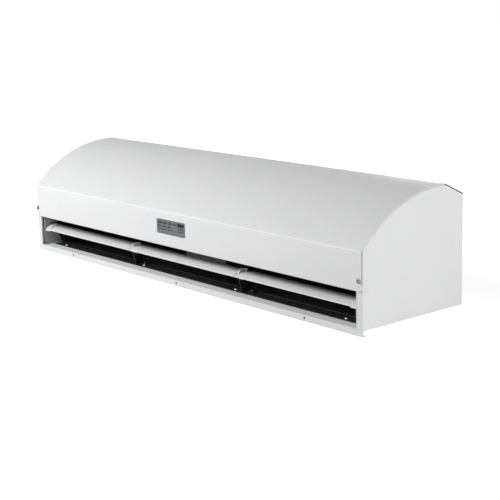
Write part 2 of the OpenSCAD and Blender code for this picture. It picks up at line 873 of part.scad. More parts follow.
module display_board() {
    color("seagreen") casing() {
        translate([lens_x - lens_w / 2 + 2, 7, lens_z]) cube([lens_w - 4, 1.6, lens_h]);
        for (sx = [-1, 1], sz = [0.15, 0.85])
            translate([lens_x + sx * (lens_w / 2 - 5), 2 * sheet_t, lens_z + sz * lens_h])
                rotate([-90, 0, 0]) cylinder(r = 2, h = 5);
        translate([lens_x - 8, 8.5, lens_z + 8]) cube([16, 2.5, 8]);
    }
}

module control_tray() {
    color(zinc) casing() on_nozzle(tray_x, tray_up) difference() {
        translate([-tray_w / 2, 0, 0]) cube([tray_w, tray_l, tray_h]);
        translate([1 - tray_w / 2, 1, 1]) cube([tray_w - 2, tray_l - 2, tray_h]);
        translate([tray_w / 2 - 3, tray_l / 2, tray_h - 10]) rotate([0, 90, 0]) cylinder(r = 6, h = 6);
    }
}

module control_board() {
    color("seagreen") casing() on_nozzle(tray_x, tray_up) {
        translate([6 - tray_w / 2, 5, board_z]) cube([tray_w - 12, tray_l - 10, board_t]);
        for (s = [-1, 1], y = [9, tray_l - 9])
            translate([s * (tray_w / 2 - 11), y, 1]) cylinder(r = 2.5, h = board_z);
        translate([tray_w / 2 - 34, 8, board_z + 1]) cube([22, 9, 11]);
        translate([60 - tray_w / 2, 8, board_z + 1]) cube([26, 7, 6]);
    }
}

module transformer() {
    color("gold") casing() on_nozzle(tray_x - tray_w / 2 + 30, tray_up) {
        translate([-15, tray_l - 36, board_top]) cube([30, 26, 22]);
        translate([-10, tray_l - 39, board_top + 3]) cube([20, 32, 15]);
    }
}

module relays() {
    color("royalblue") casing() for (i = [0:2]) on_nozzle(tray_x + 10 + 22 * i, tray_up)
        translate([-8, tray_l - 28, board_top]) cube([16, 19, 15]);
}

module capacitor() {
    color("white") casing() translate([capacitor_x, body_d - 36, sheet_t]) {
        cube([capacitor_w, 22, capacitor_h]);
        for (x = [8, capacitor_w - 18]) translate([x, 6, capacitor_h - 0.1]) cube([6, 2, 8]);
    }
}

module terminal_block() {
    x0 = grommet_x + 40;
    color("ivory") casing() difference() {
        translate([x0, body_d - 30, sheet_t]) cube([60, 20, 22]);
        for (i = [0:5]) translate([x0 + 6 + 9.6 * i, body_d - 20, sheet_t + 10]) cylinder(r = 2.6, h = 13);
    }
}

module cable_grommet() {
    color(black) casing() translate([grommet_x, grommet_y, 0]) difference() {
        union() {
            translate([0, 0, -2.5]) cylinder(r = cable_r + 5, h = 2.5);
            translate([0, 0, -1]) cylinder(r = cable_r + 3, h = 4);
            translate([0, 0, sheet_t]) cylinder(r = cable_r + 5, h = 2.5);
        }
        translate([0, 0, -3]) cylinder(r = cable_r, h = 8);
    }
}

module cable_clamp() {
    color(black) casing() translate([grommet_x + clamp_dx, grommet_y, sheet_t]) difference() {
        translate([-5, -14, 0]) cube([10, 22, 12]);
        translate([-6, -7, 7]) rotate([0, 90, 0]) cylinder(r = 4, h = 12);
        translate([0, 0, -1]) cylinder(r = 1.6, h = 14);
    }
}

// ---- fasteners ----
module cover_screws() {
    color(steel) casing() at_ends() translate([cover_screw_x, 0, cover_screw_z]) rotate([90, 0, 0])
        screw(1.8, 4, screw_head_h, 8);
}

module scroll_screws() {
    color("white") casing() for (x = scroll_screw_x) translate([x, scroll_screw_y, bend_z])
        screw(1.5, 3.2, 2.4, 5);
}

module plate_bolts() {
    color(zinc) casing() for (x = plate_bolt_x) translate([x, plate_bolt_y, sheet_t])
        screw(2.5, 5, 3.5, 6);
}

module bracket_screws() {
    color(zinc) casing() for (s = [-1, 1], y = bracket_screw_y)
        translate([s * bracket_screw_x, y, sheet_t + bracket_t]) screw(2, 3.8, 2.4, 7);
}

module strap_screws() {
    color(zinc) casing() for (s = [-1, 1], t = [-1, 1])
        translate([s * strap_screw_x, axis_y + t * strap_screw_y, seat_z + fit_gap + strap_t])
            screw(1.5, 3, 2, 7);
}

module side_plate_screws() {
    color(zinc) casing() for (s = [-1, 1], y = side_screw_y)
        translate([s * (side_x + 7), y, 2 * sheet_t]) screw(1.5, 3, 2, 5);
}

module stay_screws() {
    color(zinc) casing() for (x = stay_screw_x) translate([x, stay_screw_y, bend_z + sheet_t])
        screw(1.5, 2.9, 2, 6);
}

module hub_screws() {
    color(steel) casing() at_ends() translate([hub_screw_x, axis_y, axis_z + shaft_r + 0.1])
        cylinder(r = 1.9, h = hub_r - shaft_r + 1);
}

base_pan();
top_cover();
left_end_panel();
right_end_panel();
left_side_plate();
right_side_plate();
mounting_plate();
scroll();
nozzle_plate();
left_scroll_end();
right_scroll_end();
motor_shroud();
intake_guard();
intake_filter();
motor_case();
motor_stator();
motor_rotor();
motor_shaft();
motor_rings();
motor_bracket();
motor_straps();
left_fan_wheel();
right_fan_wheel();
fan_axles();
shaft_bearings();
bearing_rubbers();
left_louvre();
centre_louvre();
right_louvre();
left_louvre_cap();
right_louvre_cap();
louvre_joints();
louvre_pins();
louvre_stays();
louvre_bushes();
display_lens();
display_board();
control_tray();
control_board();
transformer();
relays();
capacitor();
terminal_block();
cable_grommet();
cable_clamp();
cover_screws();
scroll_screws();
plate_bolts();
bracket_screws();
strap_screws();
side_plate_screws();
stay_screws();
hub_screws();
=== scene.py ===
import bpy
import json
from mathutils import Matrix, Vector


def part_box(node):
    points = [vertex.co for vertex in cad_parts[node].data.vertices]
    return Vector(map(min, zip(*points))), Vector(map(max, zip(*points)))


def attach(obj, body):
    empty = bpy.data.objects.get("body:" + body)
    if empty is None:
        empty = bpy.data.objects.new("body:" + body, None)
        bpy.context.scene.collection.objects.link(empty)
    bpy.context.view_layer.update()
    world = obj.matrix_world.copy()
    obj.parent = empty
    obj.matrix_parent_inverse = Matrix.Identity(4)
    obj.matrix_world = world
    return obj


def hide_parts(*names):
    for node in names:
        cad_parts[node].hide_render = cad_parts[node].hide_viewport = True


bl_info = {
    "name": "Air Curtain",
    "version": (1, 0, 0),
    "blender": (4, 5, 0),
    "location": "View3D > Sidebar > Air Curtain",
    "description": "Builds the looks of an air curtain with cross-flow fan wheels around its frame",
    "category": "Add Mesh",
}

import json
import math

import bmesh
import bpy
from bpy.props import FloatProperty, FloatVectorProperty, PointerProperty
from mathutils import Matrix, Vector

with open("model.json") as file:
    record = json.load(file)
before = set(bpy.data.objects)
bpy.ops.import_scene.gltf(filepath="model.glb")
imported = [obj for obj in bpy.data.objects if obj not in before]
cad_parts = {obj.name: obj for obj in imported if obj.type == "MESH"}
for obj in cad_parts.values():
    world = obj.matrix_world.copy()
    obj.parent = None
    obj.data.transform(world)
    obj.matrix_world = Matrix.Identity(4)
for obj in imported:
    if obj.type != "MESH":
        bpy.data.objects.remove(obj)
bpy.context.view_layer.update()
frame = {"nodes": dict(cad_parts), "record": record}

MM = 0.001
WELD = 1e-6
UP = Matrix.Identity(4)
OUTWARD = Matrix.Rotation(math.radians(90), 4, "X")
INWARD = Matrix.Rotation(math.radians(-90), 4, "X")
ALONG = Matrix.Rotation(math.radians(90), 4, "Y")
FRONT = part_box("top_cover")[0].y
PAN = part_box("right_end_panel")[0].z


def casing_y(metres):
    """Millimetres back from the fascia."""
    return (metres - FRONT) / MM


def casing_z(metres):
    """Millimetres up from the base pan's underside."""
    return (metres - PAN) / MM


HALF_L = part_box("right_end_panel")[1].x / MM
COVER_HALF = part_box("top_cover")[1].x / MM
BODY_D = casing_y(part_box("right_end_panel")[1].y)
BODY_H = casing_z(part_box("top_cover")[1].z)
SLOT_H = casing_z(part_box("top_cover")[0].z)
CREST_END = casing_y(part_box("top_cover")[1].y)
LIP_Z = casing_z(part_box("base_pan")[0].z)
LIP_Y = casing_y(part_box("base_pan")[0].y)
SILL_H = casing_z(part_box("base_pan")[1].z)
JAMB_W = HALF_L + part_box("left_end_panel")[1].x / MM
JOINT_X = (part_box("louvre_joints")[1].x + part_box("centre_louvre")[1].x) / 2 / MM


# ---- sizes and colours ----
def millimetres(name, note, value):
    """A size in millimetres."""
    return FloatProperty(name=name, description=note + ", mm", default=value)


def lamp_power(name, place, value):
    """The power of a lamp."""
    return FloatProperty(name=name, description="Power of the lamp " + place, unit="POWER", default=value)


def tone(name, note, value):
    """A colour of the object."""
    return FloatVectorProperty(name=name, description=note, subtype="COLOR", default=value, min=0, max=1)


class SheetSizes(bpy.types.PropertyGroup):
    thickness: millimetres("Sheet thickness", "Painted sheet", 1.2)
    bend: millimetres("Bend radius", "Outer radius of the panels' bends", 2.2)
    crease: millimetres("Crease radius", "Radius of the fascia's upper bend", 2.6)
    crease_h: millimetres("Crease height", "Height of the fascia's upper bend", 120.0)
    # Half the width of a painted highlight: the coat is painted lighter along the fascia's upper bend.
    crease_glow: millimetres("Crease glow", "Half the light line along the upper bend", 1.1)
    crest_flat: millimetres("Crest flat", "Flat strip behind the arc", 5.0)
    hem: millimetres("Fascia hem", "Height of the fascia's folded hem", 10.0)
    lip_hem: millimetres("Lip hem", "Depth of the lip's return hem", 5.0)
    edge: millimetres("Edge rounding", "Rounding of cut sheet edges", 0.25)
    inset: millimetres("Panel inset", "Panel edge below the cover's face", 1.4)
    chamfer: millimetres("Chamfer drop", "Fall of the chamfer behind the crest", 20.0)


class LouvreSizes(bpy.types.PropertyGroup):
    pivot_y: millimetres("Pivot depth", "Pivot's distance from the fascia", 26.0)
    pivot_z: millimetres("Pivot height", "Pivot's height over the pan", 32.0)
    tilt: FloatProperty(name="Tilt", description="Slope of the blades at rest, degrees", default=7.5)
    chord: millimetres("Blade chord", "Depth of a blade", 33.5)
    sag: millimetres("Blade rise", "Rise of a blade's curve", 3.0)
    thickness: millimetres("Blade thickness", "Thickness of a blade", 2.0)
    rib: millimetres("Blade rib", "Height of the rib under a blade", 2.7)
    lift: millimetres("Blade lift", "Height of a blade's chord over the pivot", 3.1)
    cap_sag: millimetres("Cap rise", "Rise of the caps' curve", 7.0)
    cap_nose: millimetres("Cap nose", "Height of a cap's blunt front", 2.4)
    cap_w: millimetres("Cap width", "Width of a cap without its stub", 14.0)
    stub: millimetres("Stub radius", "Radius of the stub that turns in the bush", 2.45)
    disc: millimetres("Joint disc", "Radius of the disc on a joint", 10.2)
    disc_up: millimetres("Disc lift", "Disc's height over the pivot", 2.0)
    boss: millimetres("Boss radius", "Radius of the bosses at the pivot", 5.0)


class Finishes(bpy.types.PropertyGroup):
    white: tone("White coat", "Powder coat of the casing", (0.793, 0.796, 0.803))
    grey: tone("Side grey", "Inner side plates", (0.40, 0.42, 0.43))
    black: tone("Black coat", "Sheets of the air duct", (0.011, 0.011, 0.0115))
    blade: tone("Blade white", "Louvre blades", (0.93, 0.935, 0.93))
    cream: tone("Cap cream", "Louvre caps and joints", (0.80, 0.77, 0.69))
    lens: tone("Lens grey", "Display lens", (0.092, 0.106, 0.126))


class StageSizes(bpy.types.PropertyGroup):
    focal: FloatProperty(name="Focal length", description="Camera lens, mm", default=89.34)
    key: lamp_power("Key lamp", "in front on the left", 14.6)
    front: lamp_power("Front lamp", "in front", 19.6)
    side: lamp_power("Side lamp", "beside the end panel", 24.8)
    rear: lamp_power("Rear lamp", "low behind", 20.0)
    sky: FloatProperty(name="Sky", description="Strength of the even light", default=0.10)


def sheet():
    return bpy.context.scene.air_sheet


def louvre_sizes():
    return bpy.context.scene.air_louvre


def finishes():
    return bpy.context.scene.air_finish


# ---- mesh helpers ----
def spot(x, y, z):
    """A place in the casing's own frame (mm) as a point in the row frame (m)."""
    return Vector((x * MM, FRONT + y * MM, PAN + z * MM))


def arc(centre, radius, start, end, steps):
    """Points along an arc in the (y, z) plane, with angles in degrees."""
    angles = [math.radians(start + (end - start) * i / steps) for i in range(steps + 1)]
    return [Vector((centre[0] + radius * math.cos(a), centre[1] + radius * math.sin(a))) for a in angles]


def rounded(points, radii, steps=6):
    """A polyline with its corners rounded. A radius of 0 keeps the corner."""
    path = [Vector(points[0])]
    for i in range(1, len(points) - 1):
        before, corner, after = Vector(points[i - 1]), Vector(points[i]), Vector(points[i + 1])
        to_before, to_after = (before - corner).normalized(), (after - corner).normalized()
        half = to_before.angle(to_after) / 2
        if radii[i] <= 0 or half > math.pi / 2 - 1e-3:
            path.append(corner)
            continue
        reach = radii[i] / math.tan(half)
        centre = corner + (to_before + to_after).normalized() * (radii[i] / math.sin(half))
        first = corner + to_before * reach - centre
        last = corner + to_after * reach - centre
        turn = first.angle_signed(last)
        for k in range(steps + 1):
            part = -turn * k / steps
            path.append(centre + Matrix.Rotation(part, 2) @ first)
    path.append(Vector(points[-1]))
    return path


def right_normals(path):
    """Unit normals on the right-hand side of a path, averaged at its corners."""
    result = []
    for i, point in enumerate(path):
        steps = []
        if i > 0:
            steps.append((point - path[i - 1]).normalized())
        if i < len(path) - 1:
            steps.append((path[i + 1] - point).normalized())
        mean = sum(steps, Vector((0, 0))).normalized()
        stretch = 1 / max(mean.dot(steps[0]), 0.3)
        result.append(Vector((mean.y, -mean.x)) * stretch)
    return result


def linked(name, data):
    """An object with its data, put in the scene."""
    obj = bpy.data.objects.new(name, data)
    bpy.context.scene.collection.objects.link(obj)
    return obj


def from_bmesh(name, bm):
    """An object from a bmesh, which is freed."""
    mesh = bpy.data.meshes.new(name)
    bm.to_mesh(mesh)
    bm.free()
    return linked(name, mesh)


def new_object(name, mesh_maker):
    """An object from a function that fills an empty bmesh."""
    bm = bmesh.new()
    mesh_maker(bm)
    bmesh.ops.recalc_face_normals(bm, faces=bm.faces)
    return from_bmesh(name, bm)


def smooth(obj, degrees=32):
    """Smooth shading, but for edges sharper than an angle."""
    obj.data.shade_smooth()
    obj.data.set_sharp_from_angle(angle=math.radians(degrees))


def soften(obj, width, segments=2, degrees=32):
    """Smooths a piece and rounds its sharp edges by a width in mm."""
    smooth(obj, degrees)
    bevel = obj.modifiers.new("edges", "BEVEL")
    bevel.width = width * MM
    bevel.segments = segments
    bevel.limit_method = "ANGLE"
    bevel.angle_limit = math.radians(degrees)
    bevel.use_clamp_overlap = True
    bevel.harden_normals = True


def apply_modifiers(obj):
    """Makes an object's modifiers part of its mesh."""
    bpy.context.view_layer.update()
    evaluated = obj.evaluated_get(bpy.context.evaluated_depsgraph_get())
    mesh = bpy.data.meshes.new_from_object(evaluated)
    obj.modifiers.clear()
    obj.data = mesh


def cut(obj, other, operation="DIFFERENCE"):
    """Cuts another object's solid out of one and removes the other."""
    boolean = obj.modifiers.new("boolean", "BOOLEAN")
    boolean.operation = operation
    boolean.solver = "EXACT"
    boolean.object = other
    apply_modifiers(obj)
    bpy.data.objects.remove(other)


def unite(obj, *others):
    """Joins other objects' solids to one and removes the others."""
    for other in others:
        cut(obj, other, "UNION")


def bridge(bm, a, b):
    """Faces between two closed rings of vertices. A ring of one vertex is a pole."""
    count = max(len(a), len(b))
    for k in range(count):
        n = (k + 1) % count
        if len(a) == 1:
            bm.faces.new((a[0], b[n], b[k]))
        elif len(b) == 1:
            bm.faces.new((a[k], a[n], b[0]))
        else:
            bm.faces.new((a[k], a[n], b[n], b[k]))


def prism(name, near, far):
    """A solid between two like rings of points."""

    def make(bm):
        ends = [[bm.verts.new(point) for point in ring] for ring in (near, far)]
        bm.faces.new(ends[0])
        bm.faces.new(list(reversed(ends[1])))
        bridge(bm, *ends)

    return new_object(name, make)


def sheet_strip(name, path, thickness, half_width):
    """A bent sheet along X. The path is its outer face. half_width gives its half length at a point."""
    normals = right_normals(path)

    def make(bm):
        rows = []
        for point, normal in zip(path, normals):
            inner = point + normal * thickness
            half = half_width(point)
            rows.append([bm.verts.new(spot(x, p.x, p.y)) for p in (point, inner) for x in (-half, half)])
        for a, b in zip(rows, rows[1:]):
            for i, j in ((0, 1), (3, 2), (2, 0), (1, 3)):
                bm.faces.new((a[i], a[j], b[j], b[i]))
        bm.faces.new((rows[0][0], rows[0][1], rows[0][3], rows[0][2]))
        bm.faces.new((rows[-1][0], rows[-1][1], rows[-1][3], rows[-1][2]))

    return new_object(name, make)


def paint_bend_highlight(obj, y, z, reach):
    """Stores how near each vertex is to a bend along X, for a painted highlight: the coat is painted
    lighter there.
    """
    layer = obj.data.attributes.new("bend", "FLOAT", "POINT")
    middle = spot(0, y, z)
    for vertex, entry in zip(obj.data.vertices, layer.data):
        away = math.hypot(vertex.co.y - middle.y, vertex.co.z - middle.z) / (reach * MM)
        entry.value = max(0.0, 1.0 - away)


def extruded(name, outline, x0, x1, place=tuple):
    """A closed (y, z) outline extruded along X. place turns an outline point into a casing point."""
    near, far = ([spot(x, *place(p)) for p in outline] for x in (x0, x1))
    return prism(name, near, far)


def plate(name, outline, x, z, y0, y1):
    """A closed (x, z) outline round a place on the fascia, made into a plate from depth y0 to y1."""
    near, far = ([spot(x + p.x, y, z + p.y) for p in outline] for y in (y0, y1))
    return prism(name, near, far)


def lathe(name, profile, segments, matrix):
    """A (radius, height) profile turned about Z and placed by a matrix. A radius of 0 closes an end."""
    angles = [2 * math.pi * k / segments for k in range(segments)]

    def make(bm):
        rings = []
        for r, height in profile:
            ring = [Vector((r * math.cos(a), r * math.sin(a), height)) for a in angles]
            if r == 0:
                ring = [Vector((0, 0, height))]
            rings.append([bm.verts.new(matrix @ point) for point in ring])
        for a, b in zip(rings, rings[1:]):
            bridge(bm, a, b)

    return new_object(name, make)


def drill(obj, r, depth, segments, matrix):
    """Cuts a round hole, with its sizes in metres."""
    cut(obj, lathe("hole", [(0, 0), (r, 0), (r, depth), (0, depth)], segments, matrix))


def block(name, size, matrix):
    """A box of a size in metres, placed by a matrix. Used to cut and to make small pieces."""

    def make(bm):
        bmesh.ops.create_cube(bm, size=1, matrix=matrix @ Matrix.Diagonal((*size, 1)))

    return new_object(name, make)


def joined(name, objects):
    """One object from several, with their modifiers applied."""
    bm = bmesh.new()
    for obj in objects:
        apply_modifiers(obj)
        obj.data.transform(obj.matrix_world)
        bm.from_mesh(obj.data)
        bpy.data.objects.remove(obj)
    return from_bmesh(name, bm)


def seat(piece, body, slot, *nodes, finish=None):
    """Gives a piece its finish, its body and the nodes that it stands for."""
    piece.data.materials.clear()
    piece.data.materials.append(finish_of(finish or slot))
    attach(piece, body)
    if nodes:
        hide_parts(*nodes)


def refined(node, width):
    """A copy of a CAD node's mesh with its edges rounded, to stand for the node."""
    mesh = frame["nodes"][node].data.copy()
    bm = bmesh.new()
    bm.from_mesh(mesh)
    bmesh.ops.remove_doubles(bm, verts=bm.verts, dist=WELD)
    bmesh.ops.dissolve_limit(bm, angle_limit=math.radians(0.4), verts=bm.verts, edges=bm.edges)
    bm.to_mesh(mesh)
    bm.free()
    if "custom_normal" in mesh.attributes:
        mesh.attributes.remove(mesh.attributes["custom_normal"])
    piece = linked(node + "_piece", mesh)
    soften(piece, width)
    return piece


# ---- shader helpers ----
class Tree:
    """A shader node tree under construction."""

    def __init__(self, tree):
        self.nodes = tree.nodes
        self.links = tree.links

    def fill(self, socket, value):
        """Links a socket to another, or sets its value."""
        if isinstance(value, bpy.types.NodeSocket):
            self.links.new(value, socket)
        else:
            socket.default_value = value

    def node(self, kind, inputs=None, output=0, **settings):
        """Makes a node with its settings and inputs, and returns one of its outputs."""
        node = self.nodes.new("ShaderNode" + kind)
        for name, value in settings.items():
            setattr(node, name, value)
        for label, value in (inputs or {}).items():
            self.fill(node.inputs[label], value)
        return node.outputs[output]

    def coords(self):
        return self.node("TexCoord", output="Object")

    def noise(self, coords, scale, detail, roughness):
        inputs = {"Vector": coords, "Scale": scale, "Detail": detail, "Roughness": roughness}
        return self.node("TexNoise", inputs, "Fac")

    def maths(self, operation, a, b, clamp=False):
        return self.node("Math", {0: a, 1: b}, operation=operation, use_clamp=clamp)

    def product(self, a, b, clamp=False):
        return self.maths("MULTIPLY", a, b, clamp)

    def ramp(self, value, low, high, to_low=0.0, to_high=1.0):
        """Maps low to high onto 0 to 1, or onto two other values."""
        inputs = {"Value": value, "From Min": low, "From Max": high, "To Min": to_low, "To Max": to_high}
        return self.node("MapRange", inputs, "Result")

    def backdrop_rays(self):
        """1 for rays that show a pale surface itself: from the camera, by reflection or through glass."""
        path = self.nodes.new("ShaderNodeLightPath").outputs
        seen = self.maths("MAXIMUM", path["Is Camera Ray"], path["Is Glossy Ray"])
        return self.maths("MAXIMUM", seen, path["Is Transmission Ray"])


# ---- effects that several materials share, each a node group ----
def orange_peel(tree, inputs):
    """The fine waviness of a sprayed or powder coated face, as a height."""
    coords = tree.coords()
    fine = tree.noise(coords, inputs["Scale"], 1.5, 0.45)
    slow = tree.noise(coords, 55.0, 1.0, 0.4)
    return tree.product(tree.maths("ADD", fine, tree.product(slow, 1.6)), inputs["Depth"])


def handling_marks(tree, inputs):
    """Broad faint marks from handling and wiping, as a mask."""
    coords = tree.coords()
    broad = tree.noise(coords, 7.0, 3.0, 0.6)
    small = tree.noise(coords, inputs["Scale"], 4.0, 0.65)
    return tree.product(tree.ramp(broad, 0.35, 0.7), tree.ramp(small, 0.3, 0.75))


def settled_dust(tree, inputs):
    """Dust on faces that look up, as a mask."""
    coords = tree.coords()
    normal = tree.node("NewGeometry", output="Normal")
    up = tree.ramp(tree.node("SeparateXYZ", {0: normal}, "Z"), 0.2, 1.0)
    specks = tree.ramp(tree.noise(coords, 420.0, 5.0, 0.75), 0.42, 0.72)
    clouds = tree.ramp(tree.noise(coords, 14.0, 3.0, 0.6), 0.3, 0.7)
    return tree.product(tree.product(up, tree.product(specks, clouds)), inputs["Amount"], clamp=True)


def drawn_streaks(tree, inputs):
    """Fine lines along X, as drawn metal and extruded plastic have, as a value."""
    stretched = tree.node("Mapping", {"Vector": tree.coords(), "Scale": (1.0, 60.0, 60.0)}, "Vector")
    return tree.noise(stretched, inputs["Scale"], 3.0, 0.6)


def plated_grain(tree, inputs):
    """The very fine grain of plated or turned metal, as a value."""
    return tree.ramp(tree.noise(tree.coords(), inputs["Scale"], 4.0, 0.7), 0.3, 0.7)


def zinc_spangle(tree, inputs):
    """The crystals of galvanised sheet, as a value that changes from crystal to crystal."""
    coords = tree.coords()
    cells = {"Vector": coords, "Scale": inputs["Scale"]}
    crystals = tree.node("TexVoronoi", cells, "Color", feature="F1")
    shade_of_crystal = tree.node("SeparateColor", {0: crystals})
    frost = tree.noise(coords, 260.0, 4.0, 0.7)
    return tree.maths("ADD", tree.product(shade_of_crystal, 0.7), tree.product(frost, 0.3))


def mould_grain(tree, inputs):
    """The fine grain that a mould leaves on plastic, as a height."""
    coords = tree.coords()
    cells = {"Vector": coords, "Scale": inputs["Scale"]}
    pits = tree.node("TexVoronoi", cells, "Distance", feature="SMOOTH_F1")
    return tree.maths("ADD", pits, tree.noise(coords, 350.0, 2.0, 0.5))


EFFECTS = {
    "Orange Peel": (orange_peel, {"Scale": 700.0, "Depth": 1.0}, "Height"),
    "Handling Marks": (handling_marks, {"Scale": 60.0}, "Mask"),
    "Settled Dust": (settled_dust, {"Amount": 0.3}, "Mask"),
    "Drawn Streaks": (drawn_streaks, {"Scale": 14.0}, "Value"),
    "Plated Grain": (plated_grain, {"Scale": 900.0}, "Value"),
    "Zinc Spangle": (zinc_spangle, {"Scale": 110.0}, "Value"),
    "Mould Grain": (mould_grain, {"Scale": 1500.0}, "Height"),
}


def effect_group(name):
    """The node group of an effect, made once."""
    if name not in bpy.data.node_groups:
        build, inputs, output = EFFECTS[name]
        group = bpy.data.node_groups.new(name, "ShaderNodeTree")
        for label, value in inputs.items():
            socket = group.interface.new_socket(label, in_out="INPUT", socket_type="NodeSocketFloat")
            socket.default_value = value
        group.interface.new_socket(output, in_out="OUTPUT", socket_type="NodeSocketFloat")
        entry = group.nodes.new("NodeGroupInput")
        leave = group.nodes.new("NodeGroupOutput")
        group.links.new(build(Tree(group), entry.outputs), leave.inputs[output])
    return bpy.data.node_groups[name]


class Shader(Tree):
    """One Principled material under construction."""

    def __init__(self, name, colour, roughness, metallic=0.0, specular=0.5, coat=0.0):
        self.material = bpy.data.materials.new(name + "_finish")
        self.material.use_nodes = True
        super().__init__(self.material.node_tree)
        self.principled = self.nodes["Principled BSDF"].inputs
        self.colour = (*colour, 1.0)
        values = {"Base Color": self.colour, "Roughness": roughness, "Metallic": metallic,
                  "Specular IOR Level": specular, "Coat Weight": coat}
        for label, value in values.items():
            self.principled[label].default_value = value

    def effect(self, name, value):
        """Places an effect's node group with a value for its first input."""
        return self.node("Group", {0: value}, node_tree=effect_group(name))

    def mix_colour(self, mask, other):
        """Mixes another colour in by a mask, over what the base colour already is."""
        inputs = {"Factor": mask, "A": self.colour, "B": (*other, 1.0)}
        self.colour = self.node("Mix", inputs, "Result", data_type="RGBA")
        self.fill(self.principled["Base Color"], self.colour)

    def vary_roughness(self, mask, low, high):
        self.fill(self.principled["Roughness"], self.ramp(mask, 0.0, 1.0, low, high))

    def bump(self, height, distance):
        """Raises the surface by a height, with the distance in mm."""
        inputs = {"Strength": 1.0, "Distance": distance * MM, "Height": height}
        self.fill(self.principled["Normal"], self.node("Bump", inputs, "Normal"))


def shade(colour, factor):
    """A colour made lighter or darker."""
    return tuple(min(c * factor, 1.0) for c in colour)


# ---- materials, one function for each kind of finish ----
def powder_coat(name, colour, roughness, dust=0.18):
    s = Shader(name, colour, roughness, specular=0.28)
    marks = s.effect("Handling Marks", 45.0)
    s.mix_colour(marks, shade(colour, 0.975))
    s.mix_colour(s.effect("Settled Dust", dust), shade(colour, 0.90))
    # Painted highlight: the coat is lighter where the bend attribute is set, along the fascia's upper
    # bend.
    s.mix_colour(s.node("Attribute", output="Fac", attribute_name="bend"), shade(colour, 1.25))
    s.vary_roughness(marks, roughness - 0.03, roughness + 0.07)
    s.bump(s.effect("Orange Peel", 620.0), 0.035)
    return s.material


def black_coat(name, colour):
    s = Shader(name, colour, 0.46, specular=0.42)
    s.mix_colour(s.effect("Settled Dust", 0.15), (0.05, 0.05, 0.05))
    marks = s.effect("Handling Marks", 90.0)
    s.mix_colour(marks, shade(colour, 1.9))
    s.vary_roughness(marks, 0.40, 0.58)
    s.bump(s.effect("Orange Peel", 800.0), 0.03)
    return s.material


def moulded(name, colour, roughness, grain=1500.0, depth=0.02, coat=0.0):
    s = Shader(name, colour, roughness, coat=coat)
    marks = s.effect("Handling Marks", 120.0)
    s.mix_colour(marks, shade(colour, 0.93))
    s.vary_roughness(marks, roughness - 0.04, roughness + 0.08)
    s.bump(s.effect("Mould Grain", grain), depth)
    return s.material


def patterned(name, colour, roughness, pattern, scale, other, spread, depth, metallic=0.0):
    """A finish whose colour, roughness and height all follow one pattern."""
    s = Shader(name, colour, roughness, metallic)
    lines = s.effect(pattern, scale)
    s.mix_colour(lines, other)
    s.vary_roughness(lines, *spread)
    s.bump(lines, depth)
    return s.material


def zinc_sheet(name, colour):
    other = (0.72, 0.73, 0.75)
    return patterned(name, colour, 0.42, "Zinc Spangle", 120.0, other, (0.30, 0.52), 0.01, 0.85)


def taped_winding(name, colour):
    other = (0.60, 0.45, 0.10)
    return patterned(name, colour, 0.45, "Drawn Streaks", 25.0, other, (0.35, 0.55), 0.05)


def drawn_metal(name, colour, roughness, scale=14.0):
    other = shade(colour, 0.82)
    spread = (roughness - 0.08, roughness + 0.12)
    return patterned(name, colour, roughness, "Drawn Streaks", scale, other, spread, 0.008, 0.95)


def plated_metal(name, colour, roughness):
    other = shade(colour, 0.80)
    spread = (roughness - 0.05, roughness + 0.12)
    return patterned(name, colour, roughness, "Plated Grain", 900.0, other, spread, 0.006, 1.0)


def extruded_plastic(name, colour):
    s = Shader(name, colour, 0.40, specular=0.35)
    lines = s.effect("Drawn Streaks", 10.0)
    s.mix_colour(s.ramp(lines, 0.4, 0.75), shade(colour, 0.965))
    s.mix_colour(s.effect("Settled Dust", 0.2), shade(colour, 0.85))
    s.vary_roughness(lines, 0.28, 0.42)
    s.bump(lines, 0.012)
    return s.material


def rubber(name, colour):
    s = Shader(name, colour, 0.72, specular=0.35)
    s.mix_colour(s.effect("Settled Dust", 0.5), (0.09, 0.09, 0.088))
    s.bump(s.effect("Mould Grain", 900.0), 0.03)
    return s.material


def laminations(name, colour):
    s = Shader(name, colour, 0.5, metallic=0.9)
    sheets = s.node("TexWave", {"Scale": 320.0, "Vector": s.coords()}, "Fac", bands_direction="X")
    s.mix_colour(sheets, (0.10, 0.10, 0.11))
    s.vary_roughness(sheets, 0.42, 0.62)
    s.bump(sheets, 0.05)
    return s.material


def filter_net(name, colour):
    s = Shader(name, colour, 0.6)
    weave = s.node("TexChecker", {"Scale": 900.0, "Vector": s.coords()}, "Fac")
    s.mix_colour(weave, (0.075, 0.075, 0.078))
    s.mix_colour(s.effect("Settled Dust", 0.6), (0.20, 0.20, 0.19))
    s.bump(weave, 0.1)
    return s.material


def circuit_board(name, colour):
    s = Shader(name, colour, 0.38, coat=0.2)
    tracks = s.node("TexBrick", {"Scale": 160.0, "Mortar Size": 0.06, "Vector": s.coords()}, "Fac")
    s.mix_colour(tracks, (0.03, 0.16, 0.07))
    s.bump(tracks, 0.03)
    return s.material


def display_film(name, colour):
    s = Shader(name, colour, 0.26, coat=0.1)
    lines = s.effect("Drawn Streaks", 30.0)
    s.mix_colour(lines, shade(colour, 1.12))
    s.vary_roughness(s.effect("Handling Marks", 150.0), 0.18, 0.34)
    s.bump(lines, 0.004)
    return s.material


def printed_ink(name, colour):
    s = Shader(name, colour, 0.6, specular=0.08)
    speckle = s.effect("Handling Marks", 400.0)
    s.mix_colour(speckle, shade(colour, 1.5))
    s.vary_roughness(speckle, 0.55, 0.7)
    return s.material


